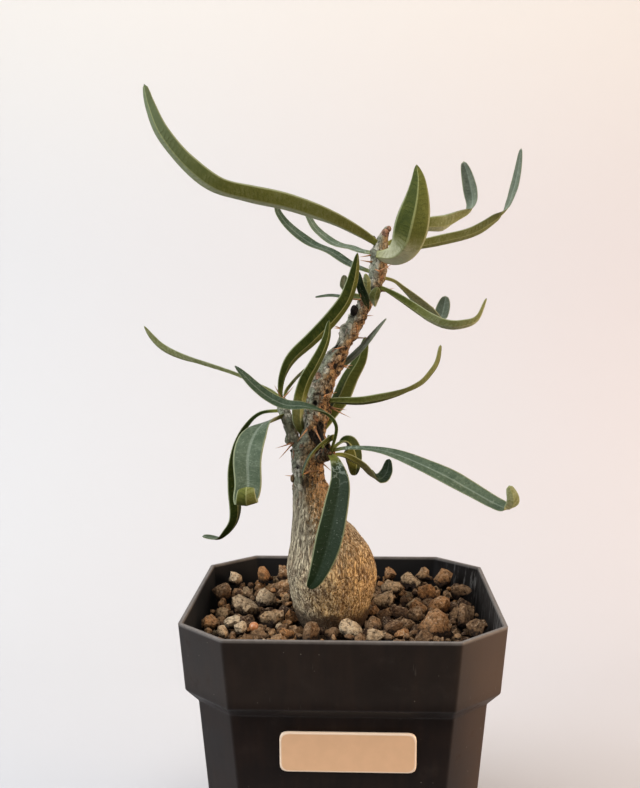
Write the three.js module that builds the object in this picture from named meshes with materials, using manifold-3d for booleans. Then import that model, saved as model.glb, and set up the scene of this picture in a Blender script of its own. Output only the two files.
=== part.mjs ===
import * as THREE from 'three';
import { mergeVertices } from 'three/addons/utils/BufferGeometryUtils.js';
import Module from 'manifold-3d';

// A small caudex plant in an eight-sided plastic pot. Millimetres, +Z up, front towards -Y.
// The origin is the centre of the pot's underside.

const wasm = await Module();
wasm.setup();

// Pot: a thin moulded shell with a collar round its top and cut corners
const POT = {
  height: 95,
  rimHalf: 50,
  rimCut: 15.2,
  collarHeight: 21.4,
  collarTaper: 1.7,
  ledgeIn: 4.1,
  ledgeDrop: 3.4,
  bodyCut: 11.2,
  bodyTaper: 0.082,
  wall: 1.3,
  floor: 2,
  ledgeLift: 0.45,
  drainRadius: 4,
  drainOffset: 17,
  drainSides: 16,
};

// Name plate, left bare: a thin rounded plate on the front of the body
const PLATE = { width: 40.5, height: 12.6, thick: 0.8, corner: 2.4, cornerSteps: 5, x: 1.9, z: 59.4 };

// Gravel: coarse fired-clay and lava grains, larger than life, on a solid fill
const GRAVEL = {
  level: 84,
  heap: 1.6,
  pitch: 8.6,
  grainMin: 4,
  grainMax: 4.9,
  squash: 0.78,
  squashVary: 0.2,
  jitter: 0.6,
  sink: 0.35,
  seed: 7,
};

// Room left between pieces that rest against each other
const GAP = 0.35;

// Stem: rows of [x, y, z, width] from the buried root up the swollen base to the growing tip
const TRUNK = [
  [-3.5, 0, 70, 4], [-3.5, 0, 78, 14], [-3.6, 0, 84, 21.5], [-4, 0, 90, 25.4], [-3.9, 0, 97, 29],
  [-4, 0, 103, 30.4], [-4.3, 0, 108, 28.3], [-5.3, 0, 113, 25], [-7.8, -0.5, 119, 19.4],
  [-9.8, -1, 124, 14.6], [-10.9, -1, 128, 12], [-11.7, -1.2, 133, 10.6], [-11.9, -1.5, 143, 9.8],
  [-10.5, -1.5, 148, 8.8], [-8.8, -1, 157, 8], [-7.3, -0.5, 165, 8.5], [-5.3, 0, 170, 8.2],
  [-2.5, 0, 175, 7.2], [0.4, 0, 179, 5.3], [3.8, 0.5, 186, 5.9], [5.8, 0.5, 190, 5.8],
  [8.4, 0.5, 194, 4.7], [10.2, 0, 198, 4.6], [11.2, 0, 204, 5.3], [12, 0, 210, 4.6],
  [12.6, 0, 213.5, 4], [13.8, 0, 216, 2], [14.6, 0, 217.3, 0.6],
];
const LEFT_BRANCH = [
  [-11, -1, 140.5, 4.2], [-14.5, -1.5, 144.5, 3.8], [-16.3, -2, 148, 3.5], [-17.8, -2.3, 153, 3.5],
  [-19.6, -2.5, 158, 3.4], [-20.2, -2.8, 161, 2.2],
];
const RIGHT_SHOOT = [
  [-10, -3, 140.5, 4], [-7, -4.8, 142, 4.2], [-4.6, -6.4, 143.4, 4.4], [-3.6, -7.1, 144.2, 2.6],
];
// Buds and old leaf scars: [x, y, z, radius]
const BUDS = [
  [-17.9, -2.4, 147.2, 1.3], [9.4, -0.6, 212.6, 1.1], [3.4, -1.8, 189.5, 1.4], [-6.3, -1.4, 128.6, 1.6],
  [-16.6, -2, 134.2, 1.1], [-5.2, -6.6, 145.6, 1.2],
];
const BUD_STRETCH = 1.25;
const STEM_SIDES = 16;
const BRANCH_SIDES = 10;
const STEPS_PER_ROW = 3;
const STEM_TIP_RADIUS = 0.3;

// Leaf bases swell into knobs that climb the stem on a spiral, each with a pair of thorns
const KNOB = { from: 131, to: 211, step: 3.1, turn: 137.5, height: 1.15, spread: 1.6 };
const THORN = {
  radius: 0.42,
  shortest: 3.4,
  longest: 6,
  splay: 32,
  tilt: 8,
  lowest: -12,
  steepest: 18,
  root: 1.6,
  sides: 3,
  clear: 1.75,
  seed: 11,
};
// Thorns that stand out: [x, y, z of the root, then x, y, z of the point]
const THORNS = [
  [-11.6, -5.2, 151.4, -13.9, -10, 148], [-11.6, -5.2, 151.4, -6.9, -9, 145.6],
  [-16.6, -3.3, 146.3, -22.3, -6.5, 144.3], [-16.6, -3.3, 146.3, -21, -7, 140.8],
  [-12.3, -1.4, 161.1, -16.1, -3.2, 161.3], [-4.4, -1.4, 157.8, 1.2, -3.6, 156.7],
  [-4.4, -1.4, 157.8, 2.2, -3, 154], [6.2, -1, 187.8, 9.9, -2, 187.8], [12.8, -1, 205, 15, -3, 202.4],
  [9.2, -1.2, 207.6, 5, -3.5, 206.5], [9.2, -1.2, 205.3, 5, -4.5, 205.5],
  [-20.2, -2.9, 160.6, -16, -6.5, 164.9], [-20.2, -2.9, 160.6, -23, -5, 165.4],
  [-7.2, -3.6, 139.8, -3.7, -7.5, 136.9], [-9, 3.4, 155, -4.3, 8, 154.7],
  [-9, 3.4, 155, -10.9, 9.7, 156.5], [-13, 3.2, 141, -11.7, 9.2, 139], [-13, 3.2, 141, -18.1, 7.2, 140.8],
];

// Leaves: rows of the midrib from the stem to the tip, the blade's full width, where along it the
// blade is widest, how far its halves fold up, how slender (high) or blunt (low) it is at the base
// and the tip, and the way its width runs from the base to the tip
const LEAVES = [
  { name: 'leaf_top_left', width: 8.4, peak: 0.5, fold: 27, full: [0.7, 0.42],
    across: [[0.57, -0.74, 0.35], [0.45, -0.74, 0.49], [0.31, -0.75, 0.58], [0.64, -0.61, 0.47],
      [0.94, -0.26, 0.23]],
    midrib: [[12, 0, 210], [6, -3, 213.5], [-4, -9, 218], [-16.5, -13.5, 222], [-29, -16.5, 224.5],
      [-39.5, -19, 227.5], [-48.5, -21, 234.5], [-55.5, -22, 243.5], [-59, -21.5, 252],
      [-60.5, -21, 258.5]] },
  { name: 'leaf_left_dark', width: 5.8, peak: 0.55, fold: 8, full: [0.9, 0.3],
    across: [[-0.43, -0.8, -0.41], [-0.68, -0.71, -0.16], [-0.58, -0.78, -0.24], [-0.58, -0.8, -0.16]],
    midrib: [[11, 0, 201.5], [2.5, 3, 204.5], [-4.5, 8, 209], [-11.5, 11, 212], [-18.5, 14.5, 217.5],
      [-22.5, 16, 222.5], [-23.5, 16, 226]] },
  { name: 'leaf_left_grey', width: 4.4, peak: 0.55, fold: 10, full: [0.9, 0.3],
    across: [[-0.49, -0.59, -0.64], [-0.78, -0.56, -0.28], [-0.71, -0.67, -0.2], [-0.68, -0.7, -0.22],
      [-0.64, -0.74, -0.2]],
    midrib: [[12, 1, 208], [6, 5, 209], [2, 9.5, 210.5], [-2, 13.5, 211.5], [-5.5, 16.5, 213.5],
      [-10, 19.5, 217.5], [-12.5, 21.5, 221.5], [-14, 22, 224.5]] },
  { name: 'leaf_top_front', width: 10.8, peak: 0.5, fold: 20, full: [1.5, 0.7],
    across: [[0.3, 0.3, -0.9], [0.4, 0.3, -0.85], [0.94, 0, -0.35], [0.98, -0.03, -0.2],
      [1, -0.05, -0.05], [1, -0.07, 0.13]],
    midrib: [[12, -0.5, 206.8], [11, -3.4, 207], [15, -6, 206.5], [18, -8.6, 208], [20, -11, 211],
      [21.5, -12.5, 216.5], [23, -12, 224], [23.5, -10.5, 230.5], [23, -8.5, 235.5]] },
  { name: 'leaf_top_back', width: 7.2, peak: 0.6, fold: 24, full: [0.8, 0.38],
    across: [[-0.3, 0.6, -0.74], [-0.03, 0.62, -0.79], [-0.07, 0.62, -0.78], [-0.14, 0.62, -0.77],
      [-0.11, 0.99, -0.09], [-0.82, 0.57, 0.02], [-0.86, 0.48, -0.17]],
    midrib: [[12.5, 1, 210.5], [18.5, 7, 213], [27, 12, 217.5], [34.5, 16.5, 218.5], [39.5, 19.5, 221],
      [43, 20.5, 223.5], [44, 19.5, 227], [43, 17.5, 231.5], [41.5, 15.5, 236], [40, 14, 239.5]] },
  { name: 'leaf_right_long', width: 4.7, peak: 0.5, fold: 14, full: [0.8, 0.4],
    across: [[0.14, 0.7, -0.7], [0.14, 0.64, -0.76], [-0.05, 0.68, -0.73], [0, 0.69, -0.73],
      [0.04, 0.69, -0.72], [0.1, 0.69, -0.71], [0.39, 0.67, -0.63], [0.54, 0.75, -0.37],
      [-0.24, 0.85, 0.48], [-0.64, 0.67, 0.38], [-0.72, 0.64, 0.28], [-0.77, 0.59, 0.24]],
    midrib: [[12, 0, 205], [17, 3, 209], [25, 5.5, 211], [32, 7, 212.5], [42, 8.5, 215],
      [48.5, 8, 218.5], [53.5, 6, 223], [55.5, 3.5, 229], [56.5, 1.5, 235], [57, -0.5, 241.5]] },
  { name: 'leaf_right_curl', width: 7.6, peak: 0.72, fold: 16, full: [1.25, 0.45],
    across: [[-0.53, 0.76, -0.37], [-0.8, 0.58, -0.11], [-0.76, 0.64, -0.13], [-0.76, 0.65, -0.07],
      [-0.55, 0.79, 0.28], [-0.96, 0.22, 0.17]],
    midrib: [[11, 0, 200.6], [16, 3, 199.5], [19.5, 7, 197], [23.5, 11, 193.5], [27, 15, 190],
      [30.5, 18.5, 187], [33.5, 20.5, 187], [34.5, 20.5, 190.5], [35, 19.5, 194.5]] },
  { name: 'leaf_right_low', width: 4.3, peak: 0.5, fold: 14, full: [0.9, 0.45],
    across: [[-0.12, 0.79, -0.61], [-0.03, 0.72, -0.7], [-0.12, 0.73, -0.67], [0.09, 0.63, -0.77],
      [0.58, 0.7, -0.42]],
    midrib: [[10, -1, 198], [14, -2, 196], [18, -5, 193.5], [23, -8, 190], [27.5, -10.3, 187],
      [32.5, -11.2, 185], [37.5, -11.3, 185], [42.5, -10.5, 187], [45.5, -9, 193.5]] },
  { name: 'leaf_thin_left', width: 2.2, peak: 0.55, fold: 8, full: [0.5, 0.3],
    across: [[-0.16, -0.9, -0.41], [0.05, -0.9, -0.43]],
    midrib: [[8, 1, 193], [0, 2, 194], [-4.5, 2.5, 194.5], [-9.5, 2.5, 194]] },
  { name: 'leaf_small_grey', width: 4.2, peak: 0.62, fold: 12, full: [0.8, 0.4],
    across: [[0, -0.9, 0.4], [-0.9, -0.4, 0]],
    midrib: [[7.5, 1.8, 194], [2.5, 7, 195], [0, 9.5, 197], [0, 10.5, 201.5]] },
  { name: 'leaf_small_dark', width: 2.9, peak: 0.55, fold: 16, full: [0.8, 0.5],
    across: [[-1, -0.2, -0.3], [-0.9, 0.4, -0.3]],
    midrib: [[7.9, -1.3, 190], [7, -3.5, 193.5], [5.5, -5, 197.5], [5, -5.5, 202]] },
  { name: 'leaf_stub', width: 3.4, peak: 0.6, fold: 10, full: [0.8, 0.5],
    across: [[1, 0.1, 0], [1, 0, 0]],
    midrib: [[10.2, -1.5, 191], [10, -4, 194], [11, -6, 197]] },
  { name: 'leaf_small_olive', width: 2.6, peak: 0.6, fold: 12, full: [0.7, 0.45],
    across: [[0.89, 0.12, 0.44], [0.98, 0.06, 0.19], [0.98, -0.01, 0.2]],
    midrib: [[9.2, -1.2, 192.6], [7.5, -2.9, 196.5], [7.5, -3.7, 199], [7, -3.9, 201.5]] },
  { name: 'leaf_tall_left', width: 4.3, peak: 0.5, fold: 24, full: [0.75, 0.7],
    across: [[0.69, 0.68, 0.25], [0.65, 0.62, -0.44], [0.57, 0.61, -0.55], [0.78, 0.6, -0.19],
      [0.87, 0.5, 0.01]],
    midrib: [[-20.3, -2.5, 160], [-20.5, -3.5, 163.5], [-19.5, -4.5, 168.5], [-16.5, -5, 174],
      [-10, -5.3, 180], [-3.5, -5.7, 186.5], [1, -6.5, 192.5], [3, -7.6, 198], [4, -8.8, 203],
      [4.5, -9.8, 208]] },
  { name: 'leaf_crotch', width: 4.5, peak: 0.42, fold: 22, full: [0.75, 0.5],
    across: [[0.66, 0.56, 0.5], [0.81, 0.59, -0.03], [0.73, 0.58, -0.35], [0.84, 0.52, -0.11]],
    midrib: [[-13.2, -1.8, 148.5], [-14.5, -5.5, 154.5], [-13.5, -7.5, 161.5], [-11.5, -9, 167.5],
      [-9, -9.8, 172], [-6.5, -10, 177], [-5, -9.8, 181.5], [-4.5, -9.5, 186.5]] },
  { name: 'leaf_thin_grey', width: 3, peak: 0.5, fold: 10, full: [0.8, 0.5],
    across: [[0.3, 0.9, 0], [0.3, 0.9, 0]],
    midrib: [[-19.8, -1.2, 161.5], [-18.5, 0.6, 164], [-15, 2, 168], [-10, 4, 172.5]] },
  { name: 'leaf_right_back', width: 6.8, peak: 0.5, fold: 22, full: [0.8, 0.4],
    across: [[0.82, -0.5, -0.27], [0.85, -0.45, -0.26], [0.75, -0.52, -0.4], [0.54, -0.49, -0.68]],
    midrib: [[-8, 1, 149], [-4.5, 3, 156], [-1.5, 6, 160.5], [1.5, 8.5, 167], [5, 9.3, 173],
      [7, 9, 179.5], [7.5, 8.8, 180.5]] },
  { name: 'leaf_right_thin', width: 3.8, peak: 0.45, fold: 12, full: [0.7, 0.5],
    across: [[-0.6, 0.73, 0.33], [-0.29, 0.86, 0.43], [-0.22, 0.87, 0.43]],
    midrib: [[-2.5, 1, 170], [1.5, 3, 172.8], [7.3, 2.5, 178.5], [14, 0, 187]] },
  { name: 'leaf_right_mid', width: 4, peak: 0.5, fold: 12, full: [0.7, 0.35],
    across: [[0.41, 0.55, -0.73], [0.1, 0.61, -0.79], [0.25, 0.67, -0.7], [0.16, 0.89, -0.43],
      [0.44, 0.75, -0.49], [0.74, 0.64, -0.21]],
    midrib: [[-8, 0, 159.5], [-3, -3, 160], [5.5, -4.8, 160], [13.5, -6, 161.5], [20, -6.3, 163.5],
      [25, -6, 166], [28, -5.4, 169], [30.5, -4.7, 173], [31.5, -4, 178.5]] },
  { name: 'leaf_far_left', width: 3.7, peak: 0.7, fold: 14, full: [0.7, 0.6],
    across: [[0.29, -0.79, 0.55], [-0.01, -0.79, 0.62], [-0.06, -0.86, 0.51], [-0.03, -0.87, 0.49],
      [0.38, -0.61, 0.7], [0.84, -0.32, 0.44]],
    midrib: [[-19.5, -2, 159.5], [-23.5, -1, 163], [-29.5, 1, 165.5], [-36.5, 3, 168.5],
      [-47, 5.5, 171.5], [-55.5, 7, 174], [-61.5, 7.5, 177], [-65, 7, 180.5], [-67.5, 6, 184.5]] },
  { name: 'leaf_loop', width: 4.3, peak: 0.68, fold: 16, full: [0.9, 0.6],
    across: [[0.43, -0.73, -0.52], [0.48, -0.73, -0.49], [0.48, -0.86, 0.17], [-0.06, -0.97, -0.23],
      [-0.07, -0.76, -0.64], [-0.34, -0.7, -0.63], [-0.49, -0.68, -0.54], [-0.63, -0.6, -0.48],
      [-0.67, -0.51, -0.53]],
    midrib: [[-4.2, -7.2, 143.6], [-2.5, -10.4, 149.5], [-2.5, -12.2, 153.5], [-5.5, -12.6, 157],
      [-12, -12.6, 159], [-18.5, -12.1, 159.5], [-24, -11.5, 162], [-28.5, -11, 165.5],
      [-32, -10.3, 169], [-35, -9.5, 172]] },
  { name: 'leaf_hang_back', width: 5.9, peak: 0.7, fold: 24, full: [0.9, 0.45],
    across: [[-0.43, -0.75, 0.49], [-0.62, -0.67, 0.41], [-0.76, -0.64, 0.12], [-0.71, -0.7, -0.02],
      [-0.67, -0.74, -0.07], [-0.68, -0.73, -0.01], [-0.3, -0.82, 0.48], [0.02, -0.8, -0.6]],
    midrib: [[-20, -1.5, 156.8], [-27.5, 2, 155.5], [-32.5, 5, 151], [-36, 8, 144.5],
      [-37.5, 9.7, 136.5], [-37.5, 10.4, 128], [-37, 10.5, 120], [-38.5, 10, 115], [-43, 9, 111],
      [-49, 8, 112]] },
  { name: 'leaf_hang_wide', width: 8.9, peak: 0.5, fold: 10, full: [0.8, 0.25],
    across: [[0.6, -0.7, 0.5], [1, 0, 0.2], [1, 0.1, 0.1], [1, 0.1, 0.1]],
    midrib: [[-18.7, -2.5, 155.5], [-23, -5, 154], [-26.5, -10, 152.5], [-29, -15, 148.5],
      [-30, -19, 143], [-29.5, -22.5, 135.5], [-30, -24.5, 131.5], [-29.5, -26.8, 130],
      [-29.5, -28.6, 131.5], [-29.5, -28.9, 134], [-29.5, -27.5, 135.5], [-30, -26, 134.5]] },
  { name: 'leaf_broad_right', width: 7, peak: 0.66, fold: 12, full: [1.3, 0.38],
    across: [[0, 0.8, 0.5], [0.3, 0.7, 0.6], [0.5, 0.6, 0.3], [1, 0.2, 0]],
    midrib: [[-4, -6, 144], [2, -10, 145.5], [10, -13.5, 145.5], [18, -17.5, 144], [30, -23.5, 139.5],
      [39, -27.5, 135], [46, -30.7, 131.5], [50, -32.5, 130.5], [51, -34.5, 133.5], [49.5, -35, 138]] },
  { name: 'leaf_hang_front', width: 8.5, peak: 0.6, fold: 18, full: [0.75, 0.42],
    across: [[1, 0, 0], [1, 0, 0]],
    midrib: [[-4.5, -7.5, 143], [-2.5, -11, 141], [-1, -15.5, 135.5], [-2, -19, 128.5],
      [-3.5, -22, 121.5], [-5.5, -24, 114], [-8, -25.3, 107.5], [-10.5, -25.5, 103.5]] },
  { name: 'leaf_short_wide', width: 7, peak: 0.66, fold: 16, full: [0.8, 0.35],
    across: [[0.6, -0.8, 0.3], [-0.7, -0.8, 0], [-0.8, -0.6, 0]],
    midrib: [[-5, -6, 143], [-1, -2.5, 146.2], [2.2, 2, 144.8], [4, 6, 139.5], [3.8, 8, 133.5]] },
  { name: 'leaf_twist', width: 6.2, peak: 0.68, fold: 16, full: [0.9, 0.4],
    across: [[-0.26, 0.3, -0.92], [-0.58, 0.41, -0.7], [-0.78, 0.58, -0.26], [-0.69, 0.72, 0.12],
      [-0.36, 0.69, 0.63], [-0.79, 0.6, 0.11], [-0.84, 0.54, 0.07]],
    midrib: [[-5, -6, 142.5], [0, -3, 142], [5, 1.5, 138.5], [9, 6, 134], [12.5, 10, 132],
      [14.8, 12.5, 134], [15.5, 13, 138.5]] },
  { name: 'leaf_narrow_front', width: 3.6, peak: 0.5, fold: 16, full: [0.8, 0.5],
    across: [[0.2, -0.8, 0.6], [0.3, -0.8, 0.4], [0.3, -0.9, 0]],
    midrib: [[-6.8, -6, 144.7], [-4, -8.4, 148.5], [-6, -10, 147.5], [-9, -11.2, 145],
      [-11.5, -11.3, 141.5], [-13, -10.8, 137.5], [-13, -10.4, 135.5]] },
];
const BLADE = {
  thick: 0.7,
  rib: 0.35,
  stalk: 0.24,
  tipHalf: 0.25,
  tipThinning: 0.5,
  pitch: 4.1,
  fewestRings: 7,
  mostRings: 18,
};
// Points between two rows of a curve when its length is measured
const CURVE_SAMPLES = 24;

const material = (color, roughness) => new THREE.MeshStandardMaterial({ color, roughness, metalness: 0 });

const MATERIALS = {
  plastic: () => material(0x2b2826, 0.55),
  plate: () => material(0xd8b795, 0.5),
  gravel: () => material(0x6e4b36, 0.95),
  bark: () => material(0x9c8458, 0.85),
  leaf: () => material(0x3f5a3c, 0.5),
};

const vec = (row) => new THREE.Vector3(row[0], row[1], row[2]);
const radians = THREE.MathUtils.degToRad;

// A repeatable stream of numbers from 0 to 1
function randomStream(seed) {
  let state = seed;
  return () => {
    state = (state * 16807) % 2147483647;
    return (state - 1) / 2147483646;
  };
}

// Closed three.js geometry to a solid
function solid(geometry) {
  const bare = geometry.clone();
  bare.deleteAttribute('normal');
  bare.deleteAttribute('uv');
  const merged = mergeVertices(bare);
  return new wasm.Manifold(new wasm.Mesh({
    numProp: 3,
    vertProperties: merged.getAttribute('position').array,
    triVerts: Uint32Array.from(merged.index.array),
  }));
}

// The solid's largest body back to a geometry; loose scraps left by a cut are dropped
function geometryOf(body) {
  const pieces = body.decompose().sort((a, b) => b.volume() - a.volume());
  const mesh = pieces[0].getMesh();
  const geometry = new THREE.BufferGeometry();
  geometry.setAttribute('position', new THREE.BufferAttribute(mesh.vertProperties, mesh.numProp));
  geometry.setIndex(new THREE.BufferAttribute(mesh.triVerts, 1));
  geometry.computeVertexNormals();
  return geometry;
}

// Skin over rings of equal count, each a list of points anticlockwise seen from the last ring,
// with both ends closed by a fan about the ring's middle
function loft(rings) {
  const count = rings[0].length;
  const points = rings.flat();
  const index = [];
  for (let i = 0; i + 1 < rings.length; i++) {
    for (let j = 0; j < count; j++) {
      const k = (j + 1) % count;
      const [a, b] = [i * count + j, i * count + k];
      const [c, d] = [a + count, b + count];
      index.push(a, b, d, a, d, c);
    }
  }
  const middle = (ring) => ring.reduce((sum, p) => sum.add(p), new THREE.Vector3()).divideScalar(count);
  const first = points.push(middle(rings[0])) - 1;
  const last = points.push(middle(rings[rings.length - 1])) - 1;
  const top = (rings.length - 1) * count;
  for (let j = 0; j < count; j++) {
    const k = (j + 1) % count;
    index.push(first, k, j, last, top + j, top + k);
  }
  const geometry = new THREE.BufferGeometry().setFromPoints(points);
  geometry.setIndex(index);
  return geometry;
}

// Smooth curve through rows of numbers: the value at t, where t counts rows
function smooth(rows, t) {
  const i = Math.min(Math.floor(t), rows.length - 2);
  const u = t - i;
  const at = (k) => rows[k];
  const before = i > 0 ? at(i - 1) : at(0).map((v, n) => 2 * v - at(1)[n]);
  const after = i + 2 < rows.length ? at(i + 2) : at(i + 1).map((v, n) => 2 * v - at(i)[n]);
  return at(i).map((b, n) => {
    const [a, c, d] = [before[n], at(i + 1)[n], after[n]];
    return 0.5 * (2 * b + (c - a) * u + (2 * a - 5 * b + 4 * c - d) * u * u + (3 * b - a - 3 * c + d) * u ** 3);
  });
}

// The same curve as rows spaced evenly along its length
function evenRows(rows, count) {
  const fine = [];
  for (let n = 0; n <= (rows.length - 1) * CURVE_SAMPLES; n++) fine.push(smooth(rows, n / CURVE_SAMPLES));
  const reach = [0];
  for (let n = 1; n < fine.length; n++) {
    reach.push(reach[n - 1] + vec(fine[n]).distanceTo(vec(fine[n - 1])));
  }
  const length = reach[reach.length - 1];
  let n = 0;
  const even = [];
  for (let k = 0; k < count; k++) {
    const goal = length * k / (count - 1);
    while (n < fine.length - 2 && reach[n + 1] < goal) n++;
    const u = Math.min(1, (goal - reach[n]) / (reach[n + 1] - reach[n]));
    even.push(fine[n].map((v, m) => v + (fine[n + 1][m] - v) * u));
  }
  return { even, length };
}

// Eight-sided ring: a square of the given half width with its corners cut
function octagon(half, cut, z) {
  const c = half - cut;
  return [[c, -half], [half, -c], [half, c], [c, half], [-c, half], [-half, c], [-half, -c], [-c, -half]]
    .map(([x, y]) => new THREE.Vector3(x, y, z));
}

const ledgeTop = POT.height - POT.collarHeight;
const ledgeFoot = ledgeTop - POT.ledgeDrop;
const collarHalf = POT.rimHalf - POT.collarTaper;

// Half width of the pot's body outside at a height below the ledge
const bodyHalf = (z) => collarHalf - POT.ledgeIn - POT.bodyTaper * (ledgeFoot - z);

// The pot's profile moved inwards by the given amount, from a floor height up. The cut corners
// shrink so that they keep the same distance as the flat sides
function potForm(inset, floorZ, topZ) {
  const cutLoss = inset * (2 - Math.SQRT2);
  const lift = inset * POT.ledgeLift;
  return loft([
    octagon(bodyHalf(floorZ) - inset, POT.bodyCut - cutLoss, floorZ),
    octagon(bodyHalf(ledgeFoot) - inset, POT.bodyCut - cutLoss, ledgeFoot + lift),
    octagon(collarHalf - inset, POT.rimCut - cutLoss, ledgeTop + lift),
    octagon(POT.rimHalf - inset, POT.rimCut - cutLoss, topZ),
  ]);
}

function makePot() {
  const outside = solid(potForm(0, 0, POT.height));
  const inside = solid(potForm(POT.wall, POT.floor, POT.height + POT.wall));
  let body = outside.subtract(inside);
  const drain = new THREE.CylinderGeometry(POT.drainRadius, POT.drainRadius, POT.floor * 3, POT.drainSides);
  drain.rotateX(Math.PI / 2);
  for (const [x, y] of [[1, 1], [1, -1], [-1, 1], [-1, -1]]) {
    const hole = drain.clone().translate(x * POT.drainOffset, y * POT.drainOffset, POT.floor / 2);
    body = body.subtract(solid(hole));
  }
  return body;
}

function makePlate() {
  const [w, h, r] = [PLATE.width / 2, PLATE.height / 2, PLATE.corner];
  const outline = new THREE.Shape();
  outline.moveTo(-w + r, -h);
  outline.absarc(w - r, -h + r, r, -Math.PI / 2, 0);
  outline.absarc(w - r, h - r, r, 0, Math.PI / 2);
  outline.absarc(-w + r, h - r, r, Math.PI / 2, Math.PI);
  outline.absarc(-w + r, -h + r, r, Math.PI, Math.PI * 1.5);
  const plate = new THREE.ExtrudeGeometry(outline, {
    depth: PLATE.thick,
    bevelEnabled: false,
    curveSegments: PLATE.cornerSteps,
  });
  plate.rotateX(Math.PI / 2 + Math.atan(POT.bodyTaper));
  plate.translate(PLATE.x, -bodyHalf(PLATE.z) - GAP, PLATE.z);
  return solid(plate);
}

// Rings round a path of [x, y, z, width] rows. Level rings stay horizontal; others face along the path
function ringsAlong(rows, sides, grow, level, relief) {
  const rings = [];
  const steps = (rows.length - 1) * STEPS_PER_ROW;
  for (let n = 0; n <= steps; n++) {
    const row = smooth(rows, n / STEPS_PER_ROW);
    const centre = vec(row);
    const ahead = vec(smooth(rows, Math.min(n + 1, steps) / STEPS_PER_ROW));
    const behind = vec(smooth(rows, Math.max(n - 1, 0) / STEPS_PER_ROW));
    const along = ahead.sub(behind).normalize();
    if (n === 0) centre.addScaledVector(along, -grow);
    if (n === steps) centre.addScaledVector(along, grow);
    let [a, b] = [new THREE.Vector3(1, 0, 0), new THREE.Vector3(0, 1, 0)];
    if (!level) {
      a = b.clone().cross(along).normalize();
      b = along.clone().cross(a);
    }
    const ring = [];
    for (let j = 0; j < sides; j++) {
      const angle = j / sides * 2 * Math.PI;
      const out = a.clone().multiplyScalar(Math.cos(angle)).addScaledVector(b, Math.sin(angle));
      const radius = Math.max(row[3] / 2, STEM_TIP_RADIUS) + grow;
      const p = centre.clone().addScaledVector(out, radius);
      ring.push(p.addScaledVector(out, relief(p)));
    }
    rings.push(ring);
  }
  return rings;
}

// Trunk centre and radius at a height
function trunkAt(z) {
  let k = 0;
  while (k < TRUNK.length - 2 && TRUNK[k + 1][2] < z) k++;
  const t = k + (z - TRUNK[k][2]) / (TRUNK[k + 1][2] - TRUNK[k][2]);
  const row = smooth(TRUNK, Math.min(t, TRUNK.length - 1));
  return { centre: new THREE.Vector3(row[0], row[1], z), radius: row[3] / 2 };
}

// Knob places up the spiral: the point on the bark and the way it faces
const knobs = [];
for (let k = 0; KNOB.from + k * KNOB.step < KNOB.to; k++) {
  const angle = radians(k * KNOB.turn);
  const { centre, radius } = trunkAt(KNOB.from + k * KNOB.step);
  const out = new THREE.Vector3(Math.cos(angle), Math.sin(angle), 0);
  knobs.push({ place: centre.addScaledVector(out, radius), out });
}

const noRelief = () => 0;
const knobRelief = (p) => {
  const swell = (knob) => Math.exp(-p.distanceToSquared(knob.place) / KNOB.spread ** 2);
  return KNOB.height * knobs.reduce((sum, knob) => sum + swell(knob), 0);
};

// Stem without its thorns; grow makes it thicker all over
function makeStemBody(grow) {
  let body = solid(loft(ringsAlong(TRUNK, STEM_SIDES, grow, true, knobRelief)));
  for (const rows of [LEFT_BRANCH, RIGHT_SHOOT]) {
    body = body.add(solid(loft(ringsAlong(rows, BRANCH_SIDES, grow, false, noRelief))));
  }
  for (const bud of BUDS) {
    const ball = new THREE.IcosahedronGeometry(bud[3] + grow, 0).scale(1, 1, BUD_STRETCH);
    body = body.add(solid(ball.translate(bud[0], bud[1], bud[2])));
  }
  return body;
}

// Leaf blade: half width along s from 0 at the stem to 1 at the tip
function bladeHalf(leaf, s) {
  const skew = Math.log(0.5) / Math.log(leaf.peak);
  const fullness = THREE.MathUtils.lerp(leaf.full[0], leaf.full[1], s);
  const body = Math.abs(Math.sin(Math.PI * s ** skew)) ** fullness;
  return leaf.width / 2 * (BLADE.stalk * (1 - s) ** 2 + body);
}

// Closed rings round the blade, eight points each: five across the upper face, three below
function bladeRings(leaf) {
  const { length } = evenRows(leaf.midrib, 2);
  const count = THREE.MathUtils.clamp(Math.round(length / BLADE.pitch), BLADE.fewestRings, BLADE.mostRings);
  const { even } = evenRows(leaf.midrib, count);
  const fold = radians(leaf.fold);
  const rings = [];
  for (let n = 0; n < count; n++) {
    const s = n / (count - 1);
    const centre = vec(even[n]);
    const along = vec(even[Math.min(n + 1, count - 1)]).sub(vec(even[Math.max(n - 1, 0)])).normalize();
    const turn = s * (leaf.across.length - 1);
    const k = Math.min(Math.floor(turn), leaf.across.length - 2);
    const side = vec(leaf.across[k]).normalize().lerp(vec(leaf.across[k + 1]).normalize(), turn - k);
    side.addScaledVector(along, -side.dot(along)).normalize();
    const up = along.clone().cross(side);
    const half = Math.max(bladeHalf(leaf, s), BLADE.tipHalf);
    const point = (v, lift) => centre.clone()
      .addScaledVector(side, v * half * Math.cos(fold))
      .addScaledVector(up, Math.abs(v) * half * Math.sin(fold) + lift);
    const t = BLADE.thick / 2 * (s < 1 ? 1 : BLADE.tipThinning);
    rings.push([
      point(-1, 0), point(-0.5, -t), point(0, -t - BLADE.rib * (1 - s)), point(0.5, -t),
      point(1, 0), point(0.5, t), point(0, t), point(-0.5, t),
    ]);
  }
  return rings;
}

// Points on every blade, at its rings and half way between them, for keeping the thorns clear
const bladeSamples = [];

function makeLeaf(leaf, stemRoom) {
  const rings = bladeRings(leaf);
  rings.forEach((ring, n) => ring.forEach((p, j) => {
    const next = rings[Math.min(n + 1, rings.length - 1)][j];
    bladeSamples.push(p, p.clone().lerp(next, 0.5));
  }));
  return solid(loft(rings)).subtract(stemRoom);
}

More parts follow.
